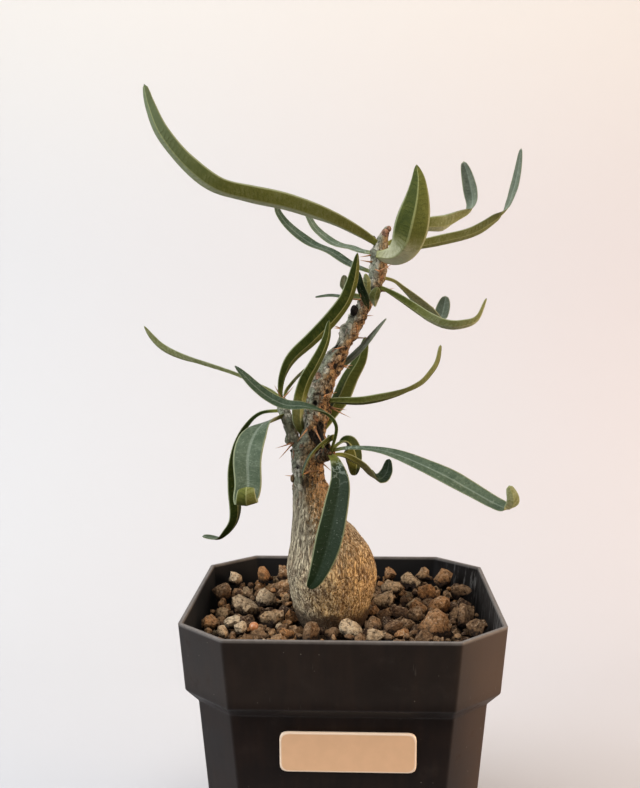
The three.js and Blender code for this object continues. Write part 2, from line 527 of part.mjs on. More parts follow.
// Three-sided thorn from its root, sunk into the bark, to its point
function thorn(root, point) {
  const toward = point.clone().sub(root);
  const length = toward.length() + THORN.root;
  const cone = new THREE.ConeGeometry(THORN.radius, length, THORN.sides);
  cone.translate(0, length / 2 - THORN.root, 0);
  const spin = new THREE.Quaternion().setFromUnitVectors(new THREE.Vector3(0, 1, 0), toward.normalize());
  return cone.applyQuaternion(spin).translate(root.x, root.y, root.z);
}

// A thorn is left out where it would touch a leaf
function clearOfLeaves(root, point) {
  const ahead = point.clone().sub(root).setLength(THORN.clear);
  const line = new THREE.Line3(root, point.clone().add(ahead));
  const nearest = new THREE.Vector3();
  return bladeSamples.every((p) => line.closestPointToPoint(p, true, nearest).distanceTo(p) > THORN.clear);
}

function direction(azimuth, rise) {
  const [a, r] = [radians(azimuth), radians(rise)];
  return new THREE.Vector3(Math.cos(a) * Math.cos(r), Math.sin(a) * Math.cos(r), Math.sin(r));
}

function makeStem() {
  const random = randomStream(THORN.seed);
  let body = makeStemBody(0);
  const spines = THORNS.map((row) => ({ root: vec(row), point: vec(row.slice(3)) }));
  for (const knob of knobs) {
    const crowded = THORNS.some((row) => vec(row).distanceTo(knob.place) < KNOB.step);
    const azimuth = THREE.MathUtils.radToDeg(Math.atan2(knob.out.y, knob.out.x));
    const length = THREE.MathUtils.lerp(THORN.shortest, THORN.longest, random());
    const rise = THREE.MathUtils.lerp(THORN.lowest, THORN.steepest, random());
    const root = knob.place.clone().addScaledVector(knob.out, KNOB.height / 2);
    if (crowded) continue;
    for (const side of [-1, 1]) {
      const toward = direction(azimuth + side * THORN.splay, rise + side * THORN.tilt);
      spines.push({ root, point: root.clone().addScaledVector(toward, length) });
    }
  }
  for (const { root, point } of spines) {
    if (clearOfLeaves(root, point)) body = body.add(solid(thorn(root, point)));
  }
  return body;
}

// Grains on a grid moved about by chance, each turned and squashed, half sunk in the fill and cut
// off where they would meet the wall or the stem
function makeGravel(stemRoom) {
  const random = randomStream(GRAVEL.seed);
  const inset = POT.wall + GAP;
  const fillFloor = POT.floor + GAP;
  const room = solid(potForm(inset, fillFloor, POT.height));
  const slab = new THREE.BoxGeometry(2 * POT.rimHalf, 2 * POT.rimHalf, GRAVEL.level);
  let body = room.intersect(solid(slab.translate(0, 0, GRAVEL.level / 2)));
  const reach = Math.floor(POT.rimHalf / GRAVEL.pitch);
  let grains = null;
  for (let i = -reach; i <= reach; i++) {
    for (let j = -reach; j <= reach; j++) {
      const radius = GRAVEL.grainMin + (GRAVEL.grainMax - GRAVEL.grainMin) * random();
      const grain = new THREE.IcosahedronGeometry(radius, 0);
      grain.scale(1, GRAVEL.squash + GRAVEL.squashVary * random(), GRAVEL.squash);
      grain.rotateX(random() * Math.PI).rotateY(random() * Math.PI).rotateZ(random() * Math.PI);
      const x = (i + (j % 2) / 2 + (random() - 0.5) * GRAVEL.jitter) * GRAVEL.pitch;
      const y = (j + (random() - 0.5) * GRAVEL.jitter) * GRAVEL.pitch;
      const z = GRAVEL.level + (random() - GRAVEL.sink) * GRAVEL.heap;
      grain.translate(x, y, z);
      grains = grains ? grains.add(solid(grain)) : solid(grain);
    }
  }
  body = body.add(grains.intersect(room));
  return body.subtract(stemRoom);
}

const plant = new THREE.Group();

function place(name, body, finish) {
  const mesh = new THREE.Mesh(geometryOf(body), finish);
  mesh.name = name;
  plant.add(mesh);
}

const stemRoom = makeStemBody(GAP);
place('pot', makePot(), MATERIALS.plastic());
place('name_plate', makePlate(), MATERIALS.plate());
place('gravel', makeGravel(stemRoom), MATERIALS.gravel());
const leaves = LEAVES.map((leaf) => ({ name: leaf.name, body: makeLeaf(leaf, stemRoom) }));
place('stem', makeStem(), MATERIALS.bark());
for (const leaf of leaves) place(leaf.name, leaf.body, MATERIALS.leaf());

export default plant;
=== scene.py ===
import bmesh
import bpy
import numpy as np
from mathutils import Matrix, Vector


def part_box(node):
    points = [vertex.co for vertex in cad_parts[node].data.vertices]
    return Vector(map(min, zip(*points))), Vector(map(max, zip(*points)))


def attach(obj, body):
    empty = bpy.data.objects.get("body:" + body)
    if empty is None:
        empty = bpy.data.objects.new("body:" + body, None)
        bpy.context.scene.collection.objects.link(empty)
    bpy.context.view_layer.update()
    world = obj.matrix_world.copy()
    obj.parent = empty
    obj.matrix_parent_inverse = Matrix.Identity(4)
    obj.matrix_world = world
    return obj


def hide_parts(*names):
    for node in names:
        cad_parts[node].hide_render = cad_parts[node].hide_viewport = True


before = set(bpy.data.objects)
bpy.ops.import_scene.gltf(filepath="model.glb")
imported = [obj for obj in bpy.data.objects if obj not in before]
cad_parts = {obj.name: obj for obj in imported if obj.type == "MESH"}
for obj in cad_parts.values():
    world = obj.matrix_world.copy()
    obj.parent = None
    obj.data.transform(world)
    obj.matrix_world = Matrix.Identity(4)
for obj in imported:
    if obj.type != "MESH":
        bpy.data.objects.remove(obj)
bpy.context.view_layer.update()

# The pot: one shell of dark brown-black plastic, moulded in one shot. It is square with cut
# corners, a tall collar stands out over a ledge, and four holes drain its floor. The mould leaves
# every edge a little round; handling leaves dust and fine scratches.
MM = 0.001
WELD = 1e-6
RIM_HALF, POT_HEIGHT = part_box("pot")[1].x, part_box("pot")[1].z
RIM_CUT, BODY_CUT = 15.2 * MM, 11.2 * MM
COLLAR_HEIGHT, COLLAR_TAPER = 21.4 * MM, 1.7 * MM
LEDGE_IN, LEDGE_DROP, LEDGE_LIFT = 4.1 * MM, 3.4 * MM, 0.45
BODY_TAPER = 0.082
WALL, FLOOR = 1.3 * MM, 2 * MM
FOOT_BAND = 2.4 * MM
DRAIN_RADIUS, DRAIN_OFFSET = 4 * MM, 17 * MM
SIDE_EDGE, RIM_EDGE, BODY_EDGE = 0.6 * MM, 0.25 * MM, 0.45 * MM
FOOT_CUT, FLOOR_STEPS, FRONT_MIDDLE, INSIDE_FROM = 9.8 * MM, 8, 3, 5.2
BEND_STEPS, BEND_FLAT = 5, 1.7
PLASTIC_DARK, PLASTIC_BROWN = (0.0045, 0.002, 0.0015), (0.0095, 0.0043, 0.0026)
PLASTIC_INSIDE_SHADE, PLASTIC_WARM_LIT = (0.0006, 0.0006, 0.001), (0.048, 0.027, 0.015)
PLASTIC_WORN_HIGHLIGHT, PLASTIC_DUST, PLASTIC_SCALE = (0.16, 0.145, 0.135), (0.16, 0.14, 0.12), (0.42, 0.41, 0.4)


def unit(vectors):
    """The vectors at length 1; those of no length stay so."""
    return vectors / np.maximum(np.linalg.norm(vectors, axis=-1, keepdims=True), 1e-12)


def rounded(line, reach, closed):
    """Softens the corners of lines of points, of shape (corners, lines, 3). Each corner p becomes
    the curve (1-t)^2 a + 2t(1-t) p + t^2 b, where a and b lie `reach` away towards its neighbours,
    and one further point on either side keeps the flats flat."""
    before, after = np.roll(line, 1, 0), np.roll(line, -1, 0)
    if not closed:
        before[0], after[-1] = line[0], line[-1]
    back, on = reach * unit(before - line), reach * unit(after - line)
    t = np.linspace(0, 1, BEND_STEPS)[:, None, None, None]
    curve = (1 - t) ** 2 * (line + back) + 2 * t * (1 - t) * line + t**2 * (line + on)
    bend = np.concatenate([(line + BEND_FLAT * back)[None], curve, (line + BEND_FLAT * on)[None]])
    return np.swapaxes(bend, 0, 1).reshape(-1, *line.shape[1:])


def octagon_rings(half, cut, height):
    """For each row the ring of a square of half width `half` whose corners are cut off `cut` from
    each side, with a point in the middle of every side, at z = height."""
    c, o = half - cut, 0 * half
    x = np.stack([o, c, half, half, half, c, o, -c, -half, -half, -half, -c])
    y = np.stack([-half, -half, -c, o, c, half, half, half, c, o, -c, -half])
    return np.stack([x, y, np.broadcast_to(height, x.shape)], -1)


def ring_faces(rings, places):
    """Four-sided faces between neighbouring rings: each place joins the next one and the next ring."""
    r, c = np.mgrid[0 : rings - 1, 0:places]
    near, far = r * places + c, r * places + (c + 1) % places
    return np.stack([near, far, far + places, near + places], -1).reshape(-1, 4)


def placed(name, data):
    """A new object in the scene, at the origin."""
    new = bpy.data.objects.new(name, data)
    bpy.context.collection.objects.link(new)
    return new


def make_piece(name, shells, nodes, finish, marks):
    """One piece from shells of shape (..., rings, places, 3), each a skin over closed rings. Points
    that fall together are welded, which closes poles and seams, and faces are turned outwards.
    `marks` names attributes, each a list of arrays like the shells, that the material reads."""
    points = np.concatenate([shell.reshape(-1, 3) for shell in shells])
    quads, first = [], 0
    for shell in shells:
        rings, places = shell.shape[-3:-1]
        starts = np.arange(first, first + shell.size // 3, rings * places)
        quads.append((ring_faces(rings, places) + starts[:, None, None]).reshape(-1, 4))
        first += shell.size // 3
    mesh = bpy.data.meshes.new(name)
    mesh.from_pydata(points.tolist(), [], np.concatenate(quads).tolist())
    for mark, values in marks.items():
        flat = np.concatenate([np.broadcast_to(v, s.shape).reshape(-1) for v, s in zip(values, shells)])
        mesh.attributes.new(mark, "FLOAT_VECTOR", "POINT").data.foreach_set("vector", flat)
    work = bmesh.new()
    work.from_mesh(mesh)
    bmesh.ops.remove_doubles(work, verts=work.verts, dist=WELD)
    bmesh.ops.recalc_face_normals(work, faces=work.faces)
    work.to_mesh(mesh)
    work.free()
    mesh.shade_smooth()
    mesh.materials.append(finish)
    piece = placed(name, mesh)
    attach(piece, "root")
    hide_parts(*nodes)
    return piece


class Wire:
    """An output socket of a material's node. Arithmetic on wires and numbers adds Math nodes."""

    def __init__(self, socket):
        self.socket = socket

    def node(self, kind, settings, *ordered, out=0, **named):
        """Adds a shader node: its settings first, where stops are a ramp's, then the values or wires
        of its sockets, in order or by name with _ for a space. Gives the wire of output `out`."""
        added = self.socket.id_data.nodes.new("ShaderNode" + kind)
        for name, value in settings.items():
            if name == "stops":
                ramp = added.color_ramp.elements
                while len(ramp) < len(value):
                    ramp.new(0.5)
                for stop, (place, colour) in zip(ramp, value):
                    stop.position, stop.color = place, (*colour, 1)
            else:
                setattr(added, name, value)
        open_sockets = [socket for socket in added.inputs if socket.enabled]
        plugs = list(zip(open_sockets, ordered))
        for name, value in named.items():
            plugs.append((next(s for s in open_sockets if s.name == name.replace("_", " ")), value))
        for socket, value in plugs:
            plug(socket, value)
        outputs = [socket for socket in added.outputs if socket.enabled]
        return Wire(outputs[out] if isinstance(out, int) else next(s for s in outputs if s.name == out))

    def math(self, operation, *values):
        return self.node("Math", {"operation": operation}, self, *values)

    def __add__(self, other):
        return self.math("ADD", other)

    def __mul__(self, other):
        return self.math("MULTIPLY", other)

    def __sub__(self, other):
        return self.math("SUBTRACT", other)

    def __rsub__(self, other):
        return self.node("Math", {"operation": "SUBTRACT"}, other, self)

    def __abs__(self):
        return self.math("ABSOLUTE")

    __radd__ = __add__
    __rmul__ = __mul__

    def rise(self, low, high):
        """0 up to `low`, 1 from `high` on, smooth between; with low above high it falls instead."""
        return self.node("MapRange", {"interpolation_type": "SMOOTHSTEP"}, self, low, high)

    def ramp(self, stops):
        """The colour that the stops, rows of a number and a colour, give for the wire's number."""
        return self.node("ValToRGB", {"stops": stops}, self)

    def mix(self, colour_0, colour_1):
        """The first colour where the wire is 0 and the second where it is 1."""
        return self.node("Mix", {"data_type": "RGBA"}, self, colour_0, colour_1)

    def vector(self, operation, *values, **named):
        return self.node("VectorMath", {"operation": operation}, self, *values, **named)

    def stretched(self, x, y, z):
        return self.vector("MULTIPLY", (x, y, z))

    def noise(self, size, detail=3.0, roughness=0.55, out=0):
        """Cloudy values or colours about 0.5 whose lumps are about `size` mm across."""
        steps = {"Scale": 1 / (size * MM), "Detail": detail, "Roughness": roughness}
        return self.node("TexNoise", {}, self, out=out, **steps)

    def cells(self, size, feature="F1", out="Distance"):
        """The distance from the nearest of points scattered about `size` mm apart, or their colours."""
        return self.node("TexVoronoi", {"feature": feature}, self, Scale=1 / (size * MM), out=out)

    def relief(self, depth):
        """A bump whose height, where the wire is 1, is `depth` mm."""
        return self.node("Bump", {}, Strength=1.0, Distance=depth * MM, Height=self)


def plug(socket, value):
    """Joins a wire to a socket, or sets the socket to a number, colour or vector."""
    if isinstance(value, Wire):
        socket.id_data.links.new(value.socket, socket)
    elif socket.type == "RGBA":
        socket.default_value = (*value, 1)
    else:
        socket.default_value = value


def new_finish(name, **fixed):
    """A new material with its shader's fixed numbers set, and the wire of the place on the piece, in
    metres."""
    finish = bpy.data.materials.new(name)
    finish.use_nodes = True
    shader = finish.node_tree.nodes["Principled BSDF"]
    return feed(finish, **fixed), Wire(shader.outputs[0]).node("TexCoord", {}, out="Object")


def feed(finish, **values):
    """Joins wires to the shader's sockets, or sets those to numbers, and gives the material."""
    sockets = finish.node_tree.nodes["Principled BSDF"].inputs
    for socket, value in values.items():
        plug(sockets[socket.replace("_", " ")], value)
    return finish


def split(vector):
    """The three numbers of a vector wire."""
    parts = vector.node("SeparateXYZ", {}, vector)
    return [Wire(socket) for socket in parts.socket.node.outputs]


def marked(place, name="mark"):
    """The three numbers that the piece's attribute of that name holds."""
    return split(place.node("Attribute", {"attribute_name": name}, out="Vector"))


def coated(colour, *coats):
    """A colour under coats, each a wire of how much it covers and its colour."""
    for share, coat in coats:
        colour = share.mix(colour, coat)
    return colour


def pot_finish():
    """Dark plastic: two close browns in upright streaks, painted warm light on the right, painted shade
    that turns the inside near-black, a grey rim that is worn and carries a painted highlight, dust,
    hair scratches, and chalky streaks that hard water left inside on the right."""
    finish, place = new_finish("pot_plastic", Specular_IOR_Level=0.2)
    inside, height, _ = marked(place)
    right, _, _ = split(place)
    cloud = place.noise(14, 4)
    brushed = place.stretched(1, 1, 0.1).noise(2.4, 5, 0.6)
    specks = place.cells(2.6).rise(0.1, 0.04) * place.noise(5).rise(0.5, 0.6)
    hairs = place.stretched(1, 1, 0.06).noise(0.5, 1).rise(0.7, 0.78) * place.noise(6).rise(0.52, 0.7)
    smear = place.noise(7, 6, 0.7).rise(0.56, 0.8)
    dust = specks * 0.5 + hairs * 0.14 + smear * 0.05
    dust = (dust + height.rise(0.76, 0.82) * (0.03 + 0.04 * cloud)) * (1 - 0.9 * inside)
    runs = place.stretched(1, 1, 0.12).noise(1.5, 5, 0.65).rise(0.52, 0.68)
    plastic = coated(
        PLASTIC_DARK,
        ((0.5 * cloud + 0.5 * brushed).rise(0.38, 0.66), PLASTIC_BROWN),
        # Painted warm light: the right side and its chamfer are lighter and browner where the warm lamps
        # fall.
        (right.rise(30 * MM, 46 * MM) * (0.6 + 0.4 * cloud), PLASTIC_WARM_LIT),
        # Painted shade: the inside walls are mixed towards near-black.
        (inside * 0.92, PLASTIC_INSIDE_SHADE),
        (dust, PLASTIC_DUST),
        (runs * inside * right.rise(34 * MM, 46 * MM) * 0.2, PLASTIC_SCALE),
        # The rim's top is lighter grey: partly wear, partly a painted highlight.
        (height.rise(0.988, 0.997) * (0.3 + 0.7 * place.noise(3)), PLASTIC_WORN_HIGHLIGHT),
    )
    grain = place.noise(0.35, 2)
    return feed(
        finish,
        Base_Color=plastic,
        Roughness=0.42 + 0.16 * cloud + 0.25 * smear + 0.2 * specks + 0.3 * inside,
        Normal=(grain + 2 * hairs + brushed).relief(0.02),
    )


ledge_top = POT_HEIGHT - COLLAR_HEIGHT
ledge_foot = ledge_top - LEDGE_DROP
collar_half = RIM_HALF - COLLAR_TAPER


def body_half(height):
    """Half width of the pot outside at a height below its ledge."""
    return collar_half - LEDGE_IN - BODY_TAPER * (ledge_foot - height)


def inner(half, cut):
    """Half width and corner cut moved inwards by the wall; the cut sides keep the same wall."""
    return half - WALL, cut - WALL * (2 - 2**0.5)


def pot_shells():
    """The wall's profile as rows of (half width, corner cut, height, edge radius), from the
    underside out and up to the rim and down inside to the floor, carried round the octagon; then
    each quarter of the floor as rings from its outline to its drain hole and back below."""
    lift = WALL * LEDGE_LIFT
    foot, waist = body_half(0), body_half(ledge_foot)
    profile = np.array([
        (foot - FOOT_BAND, FOOT_CUT, 0, 0),
        (foot, BODY_CUT, 0, BODY_EDGE),
        (waist, BODY_CUT, ledge_foot, BODY_EDGE),
        (collar_half, RIM_CUT, ledge_top, BODY_EDGE),
        (RIM_HALF, RIM_CUT, POT_HEIGHT, RIM_EDGE),
        (*inner(RIM_HALF, RIM_CUT), POT_HEIGHT, RIM_EDGE),
        (*inner(collar_half, RIM_CUT), ledge_top + lift, RIM_EDGE),
        (*inner(waist, BODY_CUT), ledge_foot + lift, RIM_EDGE),
        (*inner(body_half(FLOOR), BODY_CUT), FLOOR, RIM_EDGE),
        (foot - FOOT_BAND, FOOT_CUT, FLOOR, 0),
    ])
    corners = octagon_rings(*profile[:, :3].T)
    upright = rounded(np.swapaxes(corners, 0, 1), profile[:, 3][:, None, None], False)
    wall = np.swapaxes(rounded(np.swapaxes(upright, 0, 1), SIDE_EDGE, True), 0, 1)
    inside = np.arange(len(wall)) > len(wall) * INSIDE_FROM / len(profile)
    wall_mark = np.stack([inside, wall[:, 0, 2] / POT_HEIGHT, 0 * inside], -1)[:, None]
    quarter = wall.shape[1] // 4
    floors = []
    for turn in range(4):
        span = (np.arange(quarter + 1) + FRONT_MIDDLE + turn * quarter) % wall.shape[1]
        rings = []
        for row in (0, -1):
            arc = wall[row, span]
            share = np.linspace(1, 0, FLOOR_STEPS)[1:, None]
            spoke = share * arc[-1] * (1, 1, 0) + (0, 0, arc[0, 2])
            back = share[-2::-1] * arc[0] * (1, 1, 0) + (0, 0, arc[0, 2])
            outline = np.concatenate([arc, spoke, back])
            way = arc[0] + arc[-1]
            centre = np.array([*(np.sign(way[:2]) * DRAIN_OFFSET), arc[0, 2]])
            rings.append([outline, centre + DRAIN_RADIUS * unit(outline - centre)])
        floors.append(np.array([rings[0][0], rings[0][1], rings[1][1], rings[1][0]]))
    return [wall, *floors], [wall_mark, *[np.zeros(3)] * 4]


shells, marks = pot_shells()
make_piece("pot_shell", shells, ["pot"], pot_finish(), {"mark": marks})

# The name plate: a thin slip of laminated label tape stuck to the pot's front under the ledge. Its
# face is peach-beige with a painted highlight along its edge, and it is bare.
plate_low, plate_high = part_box("name_plate")
PLATE_X, PLATE_Z = (plate_low.x + plate_high.x) / 2, (plate_low.z + plate_high.z) / 2
PLATE_HALF_X, PLATE_HALF_Z = (plate_high.x - plate_low.x) / 2, (plate_high.z - plate_low.z) / 2
PLATE_FRONT, PLATE_CORNER = 1.15 * MM, 2.4 * MM
PLATE_EDGE, PLATE_MARGIN, PLATE_FACE = 0.25 * MM, 0.4 * MM, 0.64 * MM
PEACH, PEACH_WARM, PEACH_EDGE_HIGHLIGHT = (0.63, 0.395, 0.235), (0.67, 0.42, 0.25), (0.76, 0.6, 0.46)


def plate_shell():
    """Rings of a rectangle with rounded corners, from the back's middle over the edge to the front's
    middle, as rows of (inset, rise, mark of the face); then leaned to the pot's wall."""
    inset, rise, face = np.array([
        (PLATE_HALF_Z, 0, 0), (PLATE_EDGE, 0, 0), (0, PLATE_EDGE, 0), (0, PLATE_FRONT - PLATE_EDGE, 0),
        (PLATE_EDGE, PLATE_FRONT, 0), (PLATE_MARGIN, PLATE_FRONT, 0), (PLATE_FACE, PLATE_FRONT, 1),
        (PLATE_HALF_Z, PLATE_FRONT, 1),
    ]).T
    x, z = PLATE_HALF_X - inset, PLATE_HALF_Z - inset
    corners = np.stack([np.stack([x, z, rise], -1), np.stack([-x, z, rise], -1),
                        np.stack([-x, -z, rise], -1), np.stack([x, -z, rise], -1)])
    ring = rounded(corners, np.minimum(PLATE_CORNER, z)[None, :, None] * 0.999, True)
    across, up, out = np.moveaxis(np.swapaxes(ring, 0, 1), -1, 0)
    lean = np.arctan(BODY_TAPER)
    y = -body_half(PLATE_Z) - up * np.sin(lean) - out * np.cos(lean)
    return np.stack([PLATE_X + across, y, PLATE_Z + up * np.cos(lean) - out * np.sin(lean)], -1), face


def plate_finish():
    """Satin peach tape with faint clouding and fine scratches, and a painted highlight along the edge."""
    finish, place = new_finish("plate_tape", Specular_IOR_Level=0.3)
    middle, _, _ = marked(place)
    tone = place.noise(4, 5).rise(0.3, 0.75).mix(PEACH, PEACH_WARM)
    scuff = place.stretched(0.08, 1, 1).noise(0.35, 2).rise(0.6, 0.75)
    return feed(
        finish,
        # Painted highlight: a paler band along the edge of the front face.
        Base_Color=middle.rise(0.2, 0.8).mix(PEACH_EDGE_HIGHLIGHT, tone),
        Roughness=0.38 + 0.15 * scuff,
        Normal=(place.noise(0.5, 3) + 0.3 * scuff).relief(0.012),
    )


plate, face = plate_shell()
marks = {"mark": [face[:, None, None]]}
make_piece("plate_tape", [plate], ["name_plate"], plate_finish(), marks)

# The gravel: porous grains of fired clay, lava and pumice, poured in loose over a bed of the same.
# They are brown, orange-brown, beige and grey, 2 to 8 mm across, with dark gaps between them, where
# the bed under them is painted near-black as shade, and a round bead of slow plant food lies among them.
BED_TOP = 80 * MM
HEAP_HEIGHT, HEAP_SPREAD, BACK_RISE = 1.6 * MM, 17 * MM, 0.045
LAYERS = [  # grid pitch, smallest and largest radius, height of the centres above the bed in mm, share
    (6.2, 1.7, 2.6, 0.4, 0.85),
    (5.1, 1.4, 2.7, 5.4, 0.85),
    (3.8, 0.7, 1.3, 6.2, 0.26),
]
GRID_REACH, SHIFT_ACROSS, SHIFT_UP, NAMED_OVERLAP = 14, 0.34, 0.7 * MM, 1.1 * MM
SETTLE_STEPS, SETTLE_ROOM, SETTLE_PUSH = 40, 1.1, 0.45
CRUMB_RADIUS, CRUMB_TOP, GRAIN_TOP, GRAIN_SINK = 1.5 * MM, 9.5 * MM, 9.2 * MM, 0.35
GRAIN_SEED, GRAIN_RINGS, GRAIN_PLACES, GRAIN_PLANES = 5, 7, 9, 9
PLANE_DEPTHS, PLANE_FACING = (0.55, 0.95), 0.05
GRAIN_REACH, GRAIN_SCALE, GRAIN_STRETCH = 1.15, 1.12, (0.78, 1.2)
GRAIN_LUMPS, LUMPY_RADIUS = [(0.62, 1.4 * MM, 8), (0.75, 2.7 * MM, 9)], 2.4 * MM
GRAIN_SHARP = 38
BED_GAP, BED_CUT = 0.3 * MM, 1 * MM
SOIL_RADIUS = 11.6 * MM
STEM_FOOT = np.array([-3.6, 0]) * MM
BEAD_RADIUS = 1.6 * MM
BEADS = np.array([(-28.9, -14.6, 87.6)]) * MM
GRAIN_COLOURS = [
    (0.0, (0.042, 0.023, 0.014)), (0.15, (0.092, 0.05, 0.026)), (0.35, (0.15, 0.084, 0.042)),
    (0.55, (0.215, 0.128, 0.066)), (0.68, (0.29, 0.135, 0.049)), (0.8, (0.31, 0.208, 0.115)),
    (0.9, (0.37, 0.26, 0.155)), (1.0, (0.48, 0.375, 0.25)),
]
GRAIN_TOP_LIGHT, GRAIN_SHADE = (0.48, 0.35, 0.23), (0.018, 0.011, 0.008)
NAMED_GRAINS = np.array([  # x, y, z and radius in mm of grains that stand out, and their hue from 0 to 1
    (-38.4, -20.9, 87.5, 2.3, 0.86), (-17.3, -21.2, 87.3, 2.2, 0.7), (3, -17.6, 87.6, 3.4, 0.97),
    (-44, -8.9, 87, 3.1, 0.72), (-33.6, 6.3, 87.8, 3.7, 0.92), (-36.4, -9.6, 87.6, 2.2, 0.98),
    (-33.4, -16, 87.2, 1.9, 0.98), (-26.7, 12.6, 88.6, 3.2, 0.94), (30.5, -12.6, 87.6, 4, 0.62),
    (23.8, 35.5, 90.4, 3.2, 0.85), (16.3, 40.5, 90.8, 2.8, 0.6), (36, 37, 90.2, 3.2, 0.6),
    (16.9, 27.5, 89.6, 3.3, 0.82), (31.8, 7.2, 88, 3.7, 0.68), (40.3, -1.7, 87.6, 3.4, 0.4),
    (42.6, -12.6, 87.2, 3, 0.4), (18.5, -19.4, 87, 2.7, 0.66), (-10.4, -19.6, 87, 3.8, 0.42),
    (10.5, -21.6, 86.8, 2.6, 0.9), (-43.6, 22, 87.4, 3.5, 0.38), (41.5, 24, 89, 3.1, 0.42),
    (28.8, 21, 89, 3.1, 0.66), (23.6, -1.4, 87.2, 2.8, 0.4), (-24.5, -5.2, 87.3, 2.5, 0.8),
    (9.6, 38, 90.6, 2.6, 0.5), (29.5, 41.5, 90.6, 2.4, 0.75), (14, 14, 88.2, 3.4, 0.88),
    (-22, 40, 90.2, 2.5, 0.55), (-14.5, 36, 90, 2.8, 0.45), (-40.5, 33, 90, 2.3, 0.95),
    (-31, 37.5, 90, 2.6, 0.64), (-3.6, -17.2, 86.8, 2.3, 0.4),
])
BEAD_COLOUR, BEAD_PALE = (0.34, 0.12, 0.04), (0.42, 0.2, 0.085)


def lumps(place, size, seed):
    """Soft lumps from -1 to 1: random numbers on a lattice of pitch `size`, blended between its
    corners by 3t^2 - 2t^3 along each axis."""
    spot = place / size
    cell = np.floor(spot).astype(np.int64)
    t = spot - cell
    t = t * t * (3 - 2 * t)
    total = 0
    for corner in np.ndindex(2, 2, 2):
        key = ((cell + corner) * (73856093, 19349663, 83492791)).sum(-1) + seed * 2654435761
        key = (key ^ (key >> 13)) * 1274126177 & 0x7FFFFFFF
        value = ((key ^ (key >> 15)) & 0xFFFF) / 32767.5 - 1
        total = total + value * np.prod(np.where(corner, t, 1 - t), -1)
    return total


def turns(places):
    """Even angles once round."""
    return np.linspace(0, 2 * np.pi, places, endpoint=False)


def level(angle):
    """The level directions at those angles, (cos a, sin a, 0)."""
    return np.stack([np.cos(angle), np.sin(angle), 0 * angle], -1)


def ball(rings, places):
    """Directions over a sphere as rings from pole to pole, the poles being rings of one point."""
    lat = np.linspace(-np.pi / 2, np.pi / 2, rings)[:, None, None]
    return np.cos(lat) * level(turns(places)) + np.sin(lat) * (0, 0, 1)


def grain_spots(random):
    """Centres, radii and hues: the grains that stand out, then grids moved about by chance, a share
    of each kept, inside the pot's wall, outside the stem and clear of the first ones. Soft lumps
    heap the bed, which rises to the back."""
    named = NAMED_GRAINS[:, :4] * MM
    spots, radii, hues = [named[:, :3]], [named[:, 3]], [NAMED_GRAINS[:, 4]]
    for pitch, small, large, above, share in LAYERS:
        steps = np.arange(-GRID_REACH, GRID_REACH + 1) * pitch * MM
        x, y = np.meshgrid(steps, steps)
        x = x + 0.5 * pitch * MM * (np.arange(len(steps)) % 2)[:, None]
        x, y = x.ravel(), y.ravel()
        x = x + random.uniform(-SHIFT_ACROSS, SHIFT_ACROSS, x.size) * pitch * MM
        y = y + random.uniform(-SHIFT_ACROSS, SHIFT_ACROSS, y.size) * pitch * MM
        radius = random.uniform(small, large, x.size) * MM
        heap = HEAP_HEIGHT * lumps(np.stack([x, y, 0 * x], -1), HEAP_SPREAD, 3)
        z = BED_TOP + above * MM + heap + BACK_RISE * np.maximum(y, 0)
        z = z + random.uniform(-SHIFT_UP, SHIFT_UP, x.size)
        room = collar_half - WALL - radius
        corner = 2 * room - RIM_CUT + 0.5 * radius
        inside = (np.maximum(abs(x), abs(y)) < room) & (abs(x) + abs(y) < corner)
        clear = np.hypot(x - STEM_FOOT[0], y - STEM_FOOT[1]) > SOIL_RADIUS + 0.55 * radius
        place = np.stack([x, y, z], -1)
        apart = np.linalg.norm(place[:, None] - named[:, :3], axis=-1) - radius[:, None] - named[:, 3]
        free = apart.min(1) > -NAMED_OVERLAP
        keep = inside & clear & free & (random.uniform(size=x.size) < share)
        spots.append(place[keep])
        radii.append(radius[keep])
        hues.append(random.beta(1.4, 1.7, keep.sum()))
    radii = np.concatenate(radii)
    return settled(np.concatenate(spots), radii, len(named)), radii, np.concatenate(hues)


def settled(spots, radii, fixed):
    """Pushes grains that press into each other apart, some of the overlap at every step, and keeps
    them inside the wall and under the heap; the first `fixed` stay."""
    high = BED_TOP + np.where(radii < CRUMB_RADIUS, CRUMB_TOP, GRAIN_TOP - GRAIN_SINK * radii)
    room = (collar_half - WALL - radii)[:, None]
    free = (np.arange(len(spots)) >= fixed)[:, None]
    for _ in range(SETTLE_STEPS):
        gap = spots[:, None] - spots
        far = np.linalg.norm(gap, axis=-1) + WELD
        press = np.clip(SETTLE_ROOM * (radii[:, None] + radii) - far, 0, None)
        push = (gap * (press / far)[..., None]).sum(1)
        spots = spots + SETTLE_PUSH * free * push
        spots[:, :2] = np.clip(spots[:, :2], -room, room)
        spots[:, 2] = np.clip(spots[:, 2], BED_TOP, high + BACK_RISE * np.maximum(spots[:, 1], 0))
    return spots


